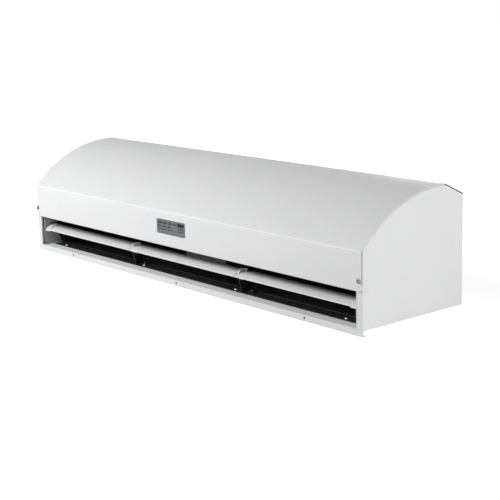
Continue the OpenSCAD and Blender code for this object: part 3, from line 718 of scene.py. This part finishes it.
# A colour is a name in Finishes or its own value. The values after it are the finish's own.
FINISHES = {
    "white_coat": (powder_coat, "white", 0.50),
    "side_grey": (powder_coat, "grey", 0.48, 0.3),
    "zinc_sheet": (zinc_sheet, (0.55, 0.56, 0.58)),
    "black_coat": (black_coat, "black"),
    "guard_black": (moulded, (0.020, 0.020, 0.022), 0.52, 1100.0, 0.03),
    "filter_black": (filter_net, (0.03, 0.03, 0.032)),
    "blade_white": (extruded_plastic, "blade"),
    "cap_cream": (moulded, "cream", 0.46, 1300.0, 0.03),
    "bush_white": (moulded, (0.68, 0.68, 0.65), 0.44),
    "wheel_metal": (drawn_metal, (0.46, 0.47, 0.48), 0.42, 8.0),
    "motor_steel": (powder_coat, (0.07, 0.075, 0.08), 0.38, 0.4),
    "lamination": (laminations, (0.26, 0.27, 0.28)),
    "rotor_steel": (drawn_metal, (0.40, 0.40, 0.42), 0.38),
    "shaft_steel": (drawn_metal, (0.56, 0.57, 0.58), 0.24, 30.0),
    "bronze": (plated_metal, (0.52, 0.33, 0.15), 0.42),
    "rubber_black": (rubber, (0.018, 0.018, 0.018)),
    "lens_grey": (display_film, "lens"),
    "board_green": (circuit_board, (0.012, 0.085, 0.035)),
    "transformer_yellow": (taped_winding, (0.48, 0.33, 0.05)),
    "relay_blue": (moulded, (0.02, 0.07, 0.26), 0.3, 1500.0, 0.01, 0.2),
    "capacitor_white": (moulded, (0.72, 0.72, 0.69), 0.32, 1500.0, 0.01, 0.1),
    "terminal_ivory": (moulded, (0.66, 0.62, 0.48), 0.42),
    "clamp_black": (moulded, (0.018, 0.018, 0.018), 0.48),
    "screw_dark": (plated_metal, (0.26, 0.255, 0.245), 0.20),
    "screw_bright": (plated_metal, (0.78, 0.78, 0.79), 0.20),
    "mark_ink": (printed_ink, (0.022, 0.022, 0.024)),
}
MADE = {}


def finish_of(slot):
    """The material of one of the record's slots, made when it is first asked for."""
    if slot not in MADE:
        maker, colour, *rest = FINISHES[slot]
        if isinstance(colour, str):
            colour = tuple(getattr(finishes(), colour))
        MADE[slot] = maker(slot, colour, *rest)
    return MADE[slot]


# The material slot of each CAD node.
NODE_SLOT = {part["node"]: part["material_slot"] for part in frame["record"]["subparts"]}


# ---- casing ----
def cover_arc():
    """Centre and radius of the cover's arc, from the fascia's upper bend and the crest."""
    crest_y = CREST_END - sheet().crest_flat
    rise = BODY_H - sheet().crease_h
    radius = (crest_y * crest_y + rise * rise) / (2 * rise)
    return Vector((crest_y, BODY_H - radius)), radius


class AIRCURTAIN_OT_cover(bpy.types.Operator):
    """Builds the top cover: fascia with folded hem, bend, arc and rear flange, and its lens cut-out"""
    bl_idname = "aircurtain.cover"
    bl_label = "Top cover"

    corner: millimetres("Corner radius", "Radius of the fascia's lower corners", 3.5)
    flange: millimetres("Rear flange", "Height of the rear flange", 8.0)
    flange_end: millimetres("Flange end", "Rear flange's distance from the end", 14.0)
    flange_bend: millimetres("Flange bend", "Radius of the bend over the rear flange", 1.5)
    lens_gap: millimetres("Lens gap", "Gap round the lens's film", 0.25)
    play: millimetres("Play", "How much thinner the visible sheet is than the solid's", 0.03)

    def execute(self, context):
        s = sheet()
        t = s.thickness
        centre, radius = cover_arc()
        start = math.degrees(math.atan2(s.crease_h - centre.y, -centre.x))
        rise = arc(centre, radius, start, 90, 72)
        low = [SLOT_H + self.corner * k / 4 for k in (4, 3, 2)]
        hem = [(2 * t, SLOT_H + s.hem)] + [(2 * t, z) for z in low] + [(2 * t, SLOT_H)]
        fascia = [(0, SLOT_H)] + [(0, z) for z in reversed(low)]
        rear = [(CREST_END, BODY_H), (CREST_END, BODY_H - self.flange)]
        points = hem + fascia + [tuple(p) for p in rise] + rear
        radii = [0.0] * len(points)
        radii[len(hem) - 1] = radii[len(hem)] = t
        radii[len(hem) + len(fascia)] = s.crease
        radii[-2] = self.flange_bend
        path = rounded(points, radii)
        flange_top = BODY_H - self.flange_bend - 0.1

        def half_width(p):
            if p.x > CREST_END - 0.5 and p.y < flange_top:
                return HALF_L - self.flange_end
            drop = max(0.0, SLOT_H + self.corner - p.y)
            return COVER_HALF - self.corner + math.sqrt(max(self.corner ** 2 - drop ** 2, 0.0))

        cover = sheet_strip("cover_shell", path, t - self.play, half_width)
        cut(cover, plate("lens_cutter", display_outline(self.lens_gap), *display_middle(), -3.0, 3.5))
        # A painted highlight along the fascia's upper bend.
        paint_bend_highlight(cover, 0.0, s.crease_h, s.crease_glow)
        soften(cover, s.edge)
        seat(cover, "casing", "white_coat", "top_cover")
        return {"FINISHED"}


# ---- the lens's place and outline ----
# How far the lens's hidden rim reaches past its film, in x and z.
FILM_MARGIN = (3.0, 2.0)


def display_middle():
    """The middle of the display lens on the fascia."""
    low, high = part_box("display_lens")
    return (low.x + high.x) / 2 / MM, casing_z((low.z + high.z) / 2)


def display_outline(grow, radius=2.0):
    """The lens's rounded outline about its middle, grown by some millimetres."""
    low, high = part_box("display_lens")
    half_w = (high.x - low.x) / 2 / MM - FILM_MARGIN[0] + grow
    half_h = (high.z - low.z) / 2 / MM - FILM_MARGIN[1] + grow
    r = radius + grow
    outline = []
    for sx, sz, first in ((1, 1, 0), (-1, 1, 90), (-1, -1, 180), (1, -1, 270)):
        outline += arc((sx * (half_w - r), sz * (half_h - r)), r, first, first + 90, 5)
    return outline


# ---- end panels and base pan ----
class AIRCURTAIN_OT_end_panels(bpy.types.Operator):
    """Builds both end panels: a flat plate rolled over into the jamb and the flange under the cover"""
    bl_idname = "aircurtain.end_panels"
    bl_label = "End panels"

    flange: millimetres("Flange", "Width of the flange under the cover", 11.0)
    foot_gap: millimetres("Foot gap", "Gap between the jamb and the floor", 1.4)
    edge: millimetres("Jamb return", "Depth of the flange along the jamb's inner edge", 3.0)
    guard_drop: millimetres("Guard drop", "Panel edge below the chamfer's face", 2.3)
    corner: millimetres("Corner radius", "Radius between the upright and the arc", 2.0)

    def execute(self, context):
        for side, node in ((-1, "left_end_panel"), (1, "right_end_panel")):
            panel = joined(node + "_shell", [self.panel(side, node), self.jamb_return(side)])
            smooth(panel)
            seat(panel, "casing", "white_coat", node)
        return {"FINISHED"}

    def edge_path(self):
        """The panel's front edge and arc, from floor to crest, with the flange's width at each point."""
        s = sheet()
        centre, radius = cover_arc()
        r = radius - s.inset
        meet_z = centre.y + math.sqrt(r * r - (LIP_Y - centre.x) ** 2)
        start = math.degrees(math.atan2(meet_z - centre.y, LIP_Y - centre.x))
        upright = [(LIP_Y, self.foot_gap), (LIP_Y, SLOT_H), (LIP_Y, meet_z - 4)]
        curve = [tuple(p) for p in arc(centre, r, start, 90, 60)]
        points = upright + curve + [(CREST_END, BODY_H - s.inset)]
        radii = [0.0] * len(points)
        radii[len(upright)] = self.corner
        path = rounded(points, radii)
        widths = [JAMB_W if p.y < meet_z - 1 else self.flange for p in path]
        return path, widths

    def panel(self, side, name):
        s = sheet()
        path, widths = self.edge_path()
        normals = right_normals(path)
        bend = s.bend
        back_top = BODY_H - s.chamfer - self.guard_drop

        def make(bm):
            columns = []
            turns = [math.radians(90 * k / 6) for k in range(1, 7)]
            for point, normal, width in zip(path, normals, widths):
                flat = HALF_L - bend
                section = [(HALF_L - width, 0.0), (flat, 0.0)]
                section += [(flat + bend * math.sin(a), bend - bend * math.cos(a)) for a in turns]
                places = [(x, point + normal * depth) for x, depth in section]
                columns.append([bm.verts.new(spot(side * x, p.x, p.y)) for x, p in places])
            for a, b in zip(columns, columns[1:]):
                for k in range(len(a) - 1):
                    bm.faces.new((a[k], a[k + 1], b[k + 1], b[k]))
            rim = [column[-1] for column in columns]
            corners = [(CREST_END, BODY_H - self.guard_drop), (BODY_D, back_top), (BODY_D, 0.0),
                       (LIP_Y + bend, 0.0)]
            rim += [bm.verts.new(spot(side * HALF_L, y, z)) for y, z in corners]
            bm.faces.new(rim)

        panel = new_object(name, make)
        face_out(panel, Vector((side, 0, 0)))
        solid = panel.modifiers.new("thickness", "SOLIDIFY")
        solid.thickness = s.thickness * MM
        solid.offset = -1
        solid.use_even_offset = True
        apply_modifiers(panel)
        return panel

    def jamb_return(self, side):
        """The flange that stands back from the jamb's inner edge."""
        t = sheet().thickness
        low, high = self.foot_gap, SLOT_H - 0.2
        middle = spot(side * (HALF_L - JAMB_W + t / 2), LIP_Y + self.edge / 2, (low + high) / 2)
        size = (t * MM, self.edge * MM, (high - low) * MM)
        flange = block("jamb_return", size, Matrix.Translation(middle))
        soften(flange, 0.4, 3)
        return flange


def face_out(obj, outward):
    """Turns the normals so that the largest face looks outward."""
    mesh = obj.data
    largest = max(mesh.polygons, key=lambda p: p.area)
    if largest.normal.dot(outward) < 0:
        mesh.flip_normals()


class AIRCURTAIN_OT_base_pan(bpy.types.Operator):
    """Builds the base pan: the lip with its hem and holes, the floor, the back wall and the flanges"""
    bl_idname = "aircurtain.base_pan"
    bl_label = "Base pan"

    hole_r: millimetres("Lip hole", "Radius of the lip's holes", 2.25)
    hole_z: millimetres("Lip hole height", "Height of the lip's holes", -3.8)
    hole_in: millimetres("Lip hole inset", "Outer holes' distance from the end", 125.0)
    flange_in: millimetres("Back flange", "Depth of the back wall's flange", 8.0)
    grommet_collar: millimetres("Grommet collar", "How far the grommet laps over its hole", 1.8)
    end_front: millimetres("End flange front", "Front of the flanges at the pan's ends", 10.0)
    end_back: millimetres("End flange back", "End flanges' distance from the back wall", 4.0)
    end_h: millimetres("End flange height", "Top of the flanges at the pan's ends", 12.0)

    def execute(self, context):
        s = sheet()
        t = s.thickness
        pan_half = HALF_L - s.inset
        lip = [(LIP_Y + t + s.lip_hem, LIP_Z), (LIP_Y, LIP_Z), (LIP_Y, 0.0), (LIP_Y, t)]
        wall = [(BODY_D - t, t), (BODY_D - t, SILL_H - t), (BODY_D - self.flange_in, SILL_H - t)]
        bends = [0, 1.6, 0, 0.8, 1.2, 1.2, 0]
        path = rounded(lip + wall, bends)
        pan = sheet_strip("base_pan_shell", path, t, lambda p: HALF_L if p.y <= 0.01 else pan_half)
        for x in (-HALF_L + self.hole_in, 0.0, HALF_L - self.hole_in):
            before = Matrix.Translation(spot(x, LIP_Y - 2, self.hole_z))
            drill(pan, self.hole_r * MM, 0.005, 24, before @ INWARD)
        low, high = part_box("cable_grommet")
        middle = (low + high) / 2
        collar = self.grommet_collar * MM
        below = Matrix.Translation(Vector((middle.x, middle.y, PAN - 0.004)))
        drill(pan, (high.x - low.x) / 2 - collar, 0.008, 32, below)
        back = BODY_D - t - self.end_back
        corners = ((self.end_front, t), (back, t), (back, self.end_h), (self.end_front, self.end_h))
        outline = [Vector(corner) for corner in corners]
        pieces = [pan]
        for side in (-1, 1):
            pieces.append(extruded("end_flange", outline, side * pan_half, side * (pan_half - t)))
        pan = joined("base_pan_shell", pieces)
        soften(pan, 0.2)
        seat(pan, "casing", "white_coat", "base_pan")
        return {"FINISHED"}


# ---- louvre ----
def louvre_place(p):
    """Turns a point of the blade's own frame into a casing point."""
    v = louvre_sizes()
    a = math.radians(v.tilt)
    return (v.pivot_y + p[0] * math.cos(a) - p[1] * math.sin(a),
            v.pivot_z + p[0] * math.sin(a) + p[1] * math.cos(a))


def bow(chord, sag, lift, steps):
    """Points of a bow from nose to tail: an arc over a chord, at some height over the pivot."""
    radius = (chord * chord / 4 + sag * sag) / (2 * sag)
    half = math.degrees(math.asin(chord / 2 / radius))
    return arc((0.0, lift + sag - radius), radius, 90 + half, 90 - half, steps)


def round_end(a, b, steps=5):
    """Points of a half circle from a to b, bulging to the left of the way from a to b."""
    middle = (a + b) / 2
    arm = a - middle
    return [middle + Matrix.Rotation(-math.pi * k / steps, 2) @ arm for k in range(1, steps)]


class AIRCURTAIN_OT_louvre(bpy.types.Operator):
    """Builds the louvre: three bowed blades, two end caps and two joints with their clips"""
    bl_idname = "aircurtain.louvre"
    bl_label = "Louvre"

    slit: millimetres("Joint slit", "Slit in a joint for its stay", 2.1)
    clip_out: millimetres("Clip distance", "Distance of the small clip from its joint", 1.6)

    # The clip's depth and height in mm, and its size in metres.
    CLIP_PLACE = (31, 41.6)
    CLIP_SIZE = (0.0044, 0.0036, 0.0042)

    def execute(self, context):
        for node in ("left_louvre", "centre_louvre", "right_louvre"):
            x0, x1 = (corner.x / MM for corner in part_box(node))
            blade = extruded(node + "_blade", self.blade(ribbed=True), x0, x1, louvre_place)
            soften(blade, 0.3)
            seat(blade, "louvre", "blade_white", node)
        for side, node in ((-1, "left_louvre_cap"), (1, "right_louvre_cap")):
            self.cap(side, node)
        self.joints()
        return {"FINISHED"}

    def blade(self, ribbed):
        """A blade's outline: two bows with round ends. The joints have it too, without the rib."""
        v = louvre_sizes()
        top = bow(v.chord, v.sag, v.lift, 28)
        low = bow(v.chord * 0.985, v.sag, v.lift - v.thickness * 0.98, 28)
        low.reverse()
        if ribbed:
            low = self.with_rib(low)
        return top + round_end(top[-1], low[0]) + low + round_end(low[-1], top[0])

    def with_rib(self, low):
        """Puts the rib that stiffens a blade in the middle of its lower bow."""
        v = louvre_sizes()
        root = v.lift + v.sag - v.thickness
        rib = [Vector(corner) for corner in
               ((0.9, root), (0.7, root - v.rib), (-0.7, root - v.rib), (-0.9, root))]
        path = []
        for a, b in zip(low, low[1:]):
            path.append(a)
            if a.x > 0 >= b.x:
                path += rib
        path.append(low[-1])
        return [p for p in path if abs(p.x) > 0.95 or p.y < root + 0.05]

    def boss_outline(self):
        """The round boss about the pivot, on the caps and the joints."""
        return arc((0.0, 0.0), louvre_sizes().boss, 0, 345, 23)

    def ear(self, name, x0, x1):
        """A cap without its stub: a bow with a blunt nose and tail, and the boss on its neck below."""
        v = louvre_sizes()
        wider, lower = 2.4, 1
        top = bow(v.chord + wider, v.cap_sag, v.lift - lower, 24)
        down = Vector((0.0, -v.cap_nose))
        body = extruded(name, top + [top[-1] + down, top[0] + down], x0, x1, louvre_place)
        boss = extruded(name + "_boss", self.boss_outline(), x0, x1, louvre_place)
        sides = [Vector(corner) for corner in ((-4.2, 0.0), (4.2, 0.0), (5.4, v.lift), (-5.4, v.lift))]
        neck = extruded(name + "_neck", sides, x0 + 0.05, x1 - 0.05, louvre_place)
        unite(body, boss, neck)
        return body

    def cap(self, side, node):
        """An end cap with the stub that turns in the side plate's bush."""
        v = louvre_sizes()
        ends = [corner.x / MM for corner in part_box(node)]
        outer, inner = ends if side < 0 else reversed(ends)
        shoulder = inner + side * v.cap_w
        cap = self.ear(node + "_shell", min(inner, shoulder), max(inner, shoulder))
        soften(cap, 0.7, 3)
        start = outer if side < 0 else shoulder - 1.0
        reach = (abs(outer - shoulder) + 1.0) * MM
        place = Matrix.Translation(spot(start, *louvre_place((0.0, 0.0)))) @ ALONG
        r, edge = v.stub * MM, 0.3 * MM
        profile = [(0, 0), (r - edge, 0), (r, edge), (r, reach - edge), (r - edge, reach), (0, reach)]
        stub = lathe(node + "_stub", profile, 32, place)
        smooth(stub)
        seat(joined(node + "_shell", [cap, stub]), "louvre", "cap_cream", node)

    def slit_outline(self):
        """The room that a joint leaves for its stay: deepest at the pin, and open below."""
        v = louvre_sizes()
        eye, disc, far = 5.2, v.disc + 1, 30.0
        steps = ((far, v.lift - v.thickness), (disc, v.lift - 0.7), (eye, 3.8))
        right = [Vector((far, -far))]
        for (reach, top), inner in zip(steps, (disc, eye, 0)):
            right += [Vector((reach, top)), Vector((inner, top))]
        right.pop()
        return right + [Vector((-p.x, p.y)) for p in reversed(right)]

    def joints(self):
        """The two joints between the blades, each slit for its stay and with a clip beside it."""
        v = louvre_sizes()
        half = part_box("louvre_joints")[1].x / MM - JOINT_X
        slit = self.slit / 2
        pieces = []
        for x in (-JOINT_X, JOINT_X):
            joint = extruded("joint", self.blade(ribbed=False), x - half, x + half, louvre_place)
            boss = extruded("boss", self.boss_outline(), x - half + 0.1, x + half - 0.1, louvre_place)
            rim = arc((0.0, v.disc_up), v.disc, 0, 354, 59)
            disc = extruded("disc", rim, x + slit, x + half - 0.05, louvre_place)
            unite(joint, boss, disc)
            cut(joint, extruded("slit", self.slit_outline(), x - slit, x + slit, louvre_place))
            soften(joint, 0.4, 2)
            pieces += [joint, self.clip(x + half + self.clip_out)]
        seat(joined("louvre_joints_shell", pieces), "louvre", "cap_cream", "louvre_joints")

    def clip(self, x):
        """The small clip that stands on a blade's back beside its joint."""
        place = Matrix.Translation(spot(x, *self.CLIP_PLACE))
        slope = Matrix.Rotation(math.radians(louvre_sizes().tilt + 0.5), 4, "X")
        clip = block("clip", self.CLIP_SIZE, place @ slope)
        soften(clip, 1.0, 4)
        return clip


# ---- fasteners ----
def phillips_head(name, head_r, head_h, shank_r, length, matrix):
    """A pan head screw with a cross recess. The head stands on its seat and the shank goes down."""
    r, h, shank, tip = head_r * MM, head_h * MM, shank_r * MM, -length * MM
    turns = [math.radians(90 * k / 6) for k in range(6)]
    dome = [(r * math.cos(a), h * (0.42 + 0.58 * math.sin(a))) for a in turns]
    shaft = [(0, tip), (shank * 0.6, tip), (shank, tip + 0.0006), (shank, 0)]
    head = lathe(name, shaft + [(r * 0.97, 0), (r, h * 0.1)] + dome + [(0, h)], 40, matrix)
    lift = Matrix.Translation((0, 0, h * 0.85))
    for angle in (0, 90):
        turn = Matrix.Rotation(math.radians(angle), 4, "Z")
        cut(head, block("cross", (r * 1.15, r * 0.26, h * 0.9), matrix @ turn @ lift))
    soften(head, 0.08, 1, 40)
    return head


def thread_rings(name, shank_r, length, pitch, matrix):
    """The thread on a screw's shank, as one helical ridge."""
    turns = max(int(length / pitch) - 1, 1)
    steps = 16

    def make(bm):
        rows = []
        for i in range(turns * steps + 1):
            a = 2 * math.pi * i / steps
            z = -length + 0.8 + pitch * i / steps
            foot, crest, reach = shank_r * 0.98, shank_r * 1.045, pitch * 0.3
            ridge = ((foot, z - reach), (crest, z), (foot, z + reach))
            points = [Vector((q * math.cos(a) * MM, q * math.sin(a) * MM, h * MM)) for q, h in ridge]
            rows.append([bm.verts.new(matrix @ point) for point in points])
        for a, b in zip(rows, rows[1:]):
            bridge(bm, a, b)
        bm.faces.new(rows[0])
        bm.faces.new(list(reversed(rows[-1])))

    return new_object(name, make)


class AIRCURTAIN_OT_screws(bpy.types.Operator):
    """Builds every screw with its domed head and cross recess, seated where the CAD screws are"""
    bl_idname = "aircurtain.screws"
    bl_label = "Screws"

    # In mm: the thread's pitch, and each screw's head radius, head height, shank radius and length.
    PITCH = 0.7
    SIZES = {
        "cover_screws": (4.0, 2.2, 1.8, 8.0),
        "scroll_screws": (3.2, 2.4, 1.5, 5.0),
        "plate_bolts": (5.0, 3.5, 2.5, 6.0),
        "bracket_screws": (3.8, 2.4, 2.0, 7.0),
        "strap_screws": (3.0, 2.0, 1.5, 7.0),
        "side_plate_screws": (3.0, 2.0, 1.5, 5.0),
        "stay_screws": (2.9, 2.0, 1.5, 6.0),
    }

    def execute(self, context):
        for node, sizes in self.SIZES.items():
            self.row(node, sizes)
        return {"FINISHED"}

    def row(self, node, sizes):
        """All the screws of one node, as one piece."""
        shank_r, length = sizes[2:]
        turn = OUTWARD if node == "cover_screws" else UP
        pieces = []
        for count, place in enumerate(self.places(node, length * MM, turn)):
            spin = Matrix.Rotation(math.radians(23 + 41 * count), 4, "Z")
            matrix = Matrix.Translation(place) @ turn @ spin
            pieces.append(phillips_head(node, *sizes, matrix))
            pieces.append(thread_rings(node, shank_r, length, self.PITCH, matrix))
        seat(joined(node + "_set", pieces), "casing", NODE_SLOT[node], node)

    def places(self, node, shank, turn):
        """Where each screw's head sits: a shank's length from the end of each loose solid of the node."""
        bm = bmesh.new()
        bm.from_mesh(frame["nodes"][node].data)
        bmesh.ops.remove_doubles(bm, verts=bm.verts, dist=WELD)
        left = set(bm.verts)
        found = []
        while left:
            island = {left.pop()}
            fresh = list(island)
            while fresh:
                vert = fresh.pop()
                near = {edge.other_vert(vert) for edge in vert.link_edges} & left
                left -= near
                island |= near
                fresh += near
            low = Vector([min(v.co[i] for v in island) for i in range(3)])
            high = Vector([max(v.co[i] for v in island) for i in range(3)])
            middle = (low + high) / 2
            if turn == OUTWARD:
                found.append(Vector((middle.x, high.y - shank, middle.z)))
            else:
                found.append(Vector((middle.x, middle.y, low.z + shank)))
        bm.free()
        return sorted(found, key=lambda p: (round(p.x, 4), round(p.y, 4)))


# ---- display ----
class AIRCURTAIN_OT_display(bpy.types.Operator):
    """Builds the display lens with its rounded film and the plain marks on it"""
    bl_idname = "aircurtain.display"
    bl_label = "Display"

    film: millimetres("Film", "Thickness of the film that shows", 1.1)

    # Rows of bars: how many, the first one's x, the step, the height on the lens, width and height.
    TICKS = (
        (4, 5.4, 2.9, 6.9, 2.2, 2.4),
        (1, 27.0, 0.0, 7.0, 19.0, 6.2),
        (3, 22.0, 5.0, 0.4, 2.6, 3.4),
        (11, -35.5, 4.0, -4.6, 3.0, 1.5),
        (4, 20.5, 4.4, -3.8, 3.2, 1.6),
    )

    def execute(self, context):
        x, z = display_middle()
        front, back = (casing_y(corner.y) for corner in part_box("display_lens"))
        film = plate("display_film", display_outline(-0.05), x, z, front, front + self.film)
        soften(film, 0.25)
        base = plate("display_back", display_outline(2.0, 0.0), x, z, front + self.film, back)
        seat(joined("display_lens_film", [film, base]), "casing", "lens_grey", "display_lens")
        self.marks(front)
        return {"FINISHED"}

    def mark(self, x, z, outline, front):
        """A flat mark on the film, which stands out by a few hundredths of a millimetre."""
        mid_x, mid_z = display_middle()
        return plate("mark", outline, mid_x + x, mid_z + z, front - 0.04, front + 0.02)

    def ring(self, x, z, radius, width, front):
        """A ring with a gap on its right."""
        outer = arc((0, 0), radius, 20, 340, 20)
        inner = arc((0, 0), radius - width, 340, 20, 20)
        return self.mark(x, z, outer + inner, front)

    def bar(self, x, z, w, h, front):
        corners = ((1, 1), (-1, 1), (-1, -1), (1, -1))
        return self.mark(x, z, [Vector((sx * w / 2, sz * h / 2)) for sx, sz in corners], front)

    def marks(self, front):
        """A row of plain round and barred marks, a dark window and rows of short ticks."""
        dark = []
        for x in (-34.5, -20.5, -6.5):
            dark.append(self.ring(x, 6.8, 2.7, 1.9, front))
            dark.append(self.bar(x + 5.4, 6.8, 4.4, 4.6, front))
            dark.append(self.bar(x - 0.4, 0.4, 4.6, 3.2, front))
            dark.append(self.bar(x + 4.6, 0.4, 3.0, 2.4, front))
        for count, first, step, z, w, h in self.TICKS:
            dark += [self.bar(first + step * k, z, w, h, front) for k in range(count)]
        seat(joined("display_marks", dark), "casing", "lens_grey", finish="mark_ink")


# ---- pieces that keep the CAD's shape ----
class AIRCURTAIN_OT_fittings(bpy.types.Operator):
    """Rounds the edges of the sheet and moulded pieces inside and behind the casing"""
    bl_idname = "aircurtain.fittings"
    bl_label = "Fittings"

    ROUNDED = {
        "intake_guard": 0.5, "mounting_plate": 0.3, "left_side_plate": 0.3, "right_side_plate": 0.3,
        "scroll": 0.25, "nozzle_plate": 0.25, "left_scroll_end": 0.4, "right_scroll_end": 0.4,
        "motor_shroud": 0.25, "motor_bracket": 0.4, "motor_straps": 0.4, "control_tray": 0.25,
        "louvre_stays": 0.25, "louvre_bushes": 0.3, "cable_grommet": 0.5, "cable_clamp": 0.7,
        "capacitor": 0.9, "terminal_block": 0.6, "transformer": 0.6, "relays": 0.6, "motor_case": 0.8,
        "bearing_rubbers": 0.5, "motor_rings": 0.5, "intake_filter": 0.4,
    }

    def execute(self, context):
        for node, width in self.ROUNDED.items():
            seat(refined(node, width), "casing", NODE_SLOT[node], node)
        return {"FINISHED"}


class AIRCURTAIN_OT_inner_works(bpy.types.Operator):
    """Gives the CAD nodes that stay as they are their finishes: wheels, shafts, bearings and boards"""
    bl_idname = "aircurtain.inner_works"
    bl_label = "Inner works"

    KEPT = ("left_fan_wheel", "right_fan_wheel", "fan_axles", "motor_shaft", "motor_rotor", "motor_stator",
            "shaft_bearings", "louvre_pins", "hub_screws", "display_board", "control_board")

    def execute(self, context):
        for node in self.KEPT:
            mesh = frame["nodes"][node].data
            mesh.materials.clear()
            mesh.materials.append(finish_of(NODE_SLOT[node]))
        return {"FINISHED"}


# ---- stage ----
class AIRCURTAIN_OT_stage(bpy.types.Operator):
    """Sets up the pale floor, the even light, four soft lamps and the camera"""
    bl_idname = "aircurtain.stage"
    bl_label = "Stage"

    # A lamp's size and place, in metres. Its power is in StageSizes.
    LAMPS = {
        "key": (0.6, (-0.90, -1.30, 0.95)),
        "front": (0.8, (0.0, -1.83, 1.67)),
        "side": (0.8, (2.37, 0.21, 0.45)),
        "rear": (0.8, (-1.30, 2.30, 0.30)),
    }
    LAMP_TARGET = (0.0, 0.0, 0.1)

    # The camera's place in mm from the left end's lower front corner.
    # Its turn to the left, tilt down and roll are in degrees.
    CAMERA_PLACE = (2132.9, -1284.1, 503.8)
    CAMERA_TURN = (49.043, 9.699, -0.904)
    CAMERA_SHIFT = -0.1012

    def execute(self, context):
        sizes = context.scene.air_stage
        self.floor()
        self.world(sizes.sky)
        for name, (size, place) in self.LAMPS.items():
            self.lamp(name + "_lamp", getattr(sizes, name), size, Vector(place))
        self.camera(sizes.focal)
        context.scene.view_settings.view_transform = "Standard"
        return {"FINISHED"}

    def floor(self):
        """A pale matt floor that grows lighter away from the object and keeps its shadow."""

        def make(bm):
            bmesh.ops.create_grid(bm, x_segments=1, y_segments=1, size=12.0)

        floor = new_object("floor", make)
        s = Shader("floor_white", (0.85, 0.85, 0.85), 0.9, specular=0.0)
        reach = s.node("VectorMath", {0: s.coords()}, "Value", operation="LENGTH")
        strength = s.product(s.backdrop_rays(), s.ramp(reach, 0.45, 1.4, 0.74, 1.0))
        glow = s.node("Emission", {"Strength": strength})
        total = s.node("AddShader", {0: s.nodes["Principled BSDF"].outputs[0], 1: glow})
        s.fill(s.nodes["Material Output"].inputs["Surface"], total)
        floor.data.materials.append(s.material)

    def world(self, sky):
        """Even white light on the object, and a plain white background behind it."""
        world = bpy.data.worlds.new("studio")
        world.use_nodes = True
        tree = Tree(world.node_tree)
        background = tree.nodes["Background"].inputs
        background["Color"].default_value = (1, 1, 1, 1)
        tree.fill(background["Strength"], tree.ramp(tree.backdrop_rays(), 0.0, 1.0, sky, 1.0))
        bpy.context.scene.world = world

    def lamp(self, name, power, size, place):
        """A soft square lamp that points at the object."""
        data = bpy.data.lights.new(name, "AREA")
        data.energy = power
        data.size = size
        lamp = linked(name, data)
        lamp.location = place
        lamp.rotation_euler = (Vector(self.LAMP_TARGET) - place).to_track_quat("-Z", "Y").to_euler()

    def camera(self, focal):
        """The photograph's view: turned left, tilted down and rolled a little."""
        yaw, pitch, roll = (math.radians(angle) for angle in self.CAMERA_TURN)
        level = math.cos(pitch)
        ahead = Vector((-math.sin(yaw) * level, math.cos(yaw) * level, -math.sin(pitch)))
        right = Vector((math.cos(yaw), math.sin(yaw), 0))
        up = right.cross(ahead)
        across = math.cos(roll) * right + math.sin(roll) * up
        over = -math.sin(roll) * right + math.cos(roll) * up
        data = bpy.data.cameras.new("camera")
        data.lens = focal
        data.shift_y = self.CAMERA_SHIFT
        camera = linked("camera", data)
        x, y, z = self.CAMERA_PLACE
        turn = Matrix((across, over, -ahead)).transposed().to_4x4()
        camera.matrix_world = Matrix.Translation(spot(x - HALF_L, y, z)) @ turn
        bpy.context.scene.camera = camera


OPERATORS = (AIRCURTAIN_OT_stage, AIRCURTAIN_OT_cover, AIRCURTAIN_OT_end_panels, AIRCURTAIN_OT_base_pan,
             AIRCURTAIN_OT_louvre, AIRCURTAIN_OT_screws, AIRCURTAIN_OT_display, AIRCURTAIN_OT_fittings,
             AIRCURTAIN_OT_inner_works)


class AIRCURTAIN_PT_panel(bpy.types.Panel):
    """Lists the air curtain's pieces and sizes"""
    bl_label = "Air Curtain"
    bl_idname = "AIRCURTAIN_PT_panel"
    bl_space_type = "VIEW_3D"
    bl_region_type = "UI"
    bl_category = "Air Curtain"

    def draw(self, context):
        for operator in OPERATORS:
            self.layout.operator(operator.bl_idname)
        for name in GROUPS:
            group = getattr(context.scene, name)
            box = self.layout.box()
            for size in group.__annotations__:
                box.prop(group, size)


GROUPS = {"air_sheet": SheetSizes, "air_louvre": LouvreSizes, "air_finish": Finishes,
          "air_stage": StageSizes}
CLASSES = (*GROUPS.values(), *OPERATORS, AIRCURTAIN_PT_panel)


def register():
    for cls in CLASSES:
        bpy.utils.register_class(cls)
    for name, group in GROUPS.items():
        setattr(bpy.types.Scene, name, PointerProperty(type=group))


def unregister():
    for name in GROUPS:
        delattr(bpy.types.Scene, name)
    for cls in reversed(CLASSES):
        bpy.utils.unregister_class(cls)


def main():
    register()
    for operator in OPERATORS:
        category, name = operator.bl_idname.split(".")
        getattr(getattr(bpy.ops, category), name)()


if __name__ == "__main__":
    main()
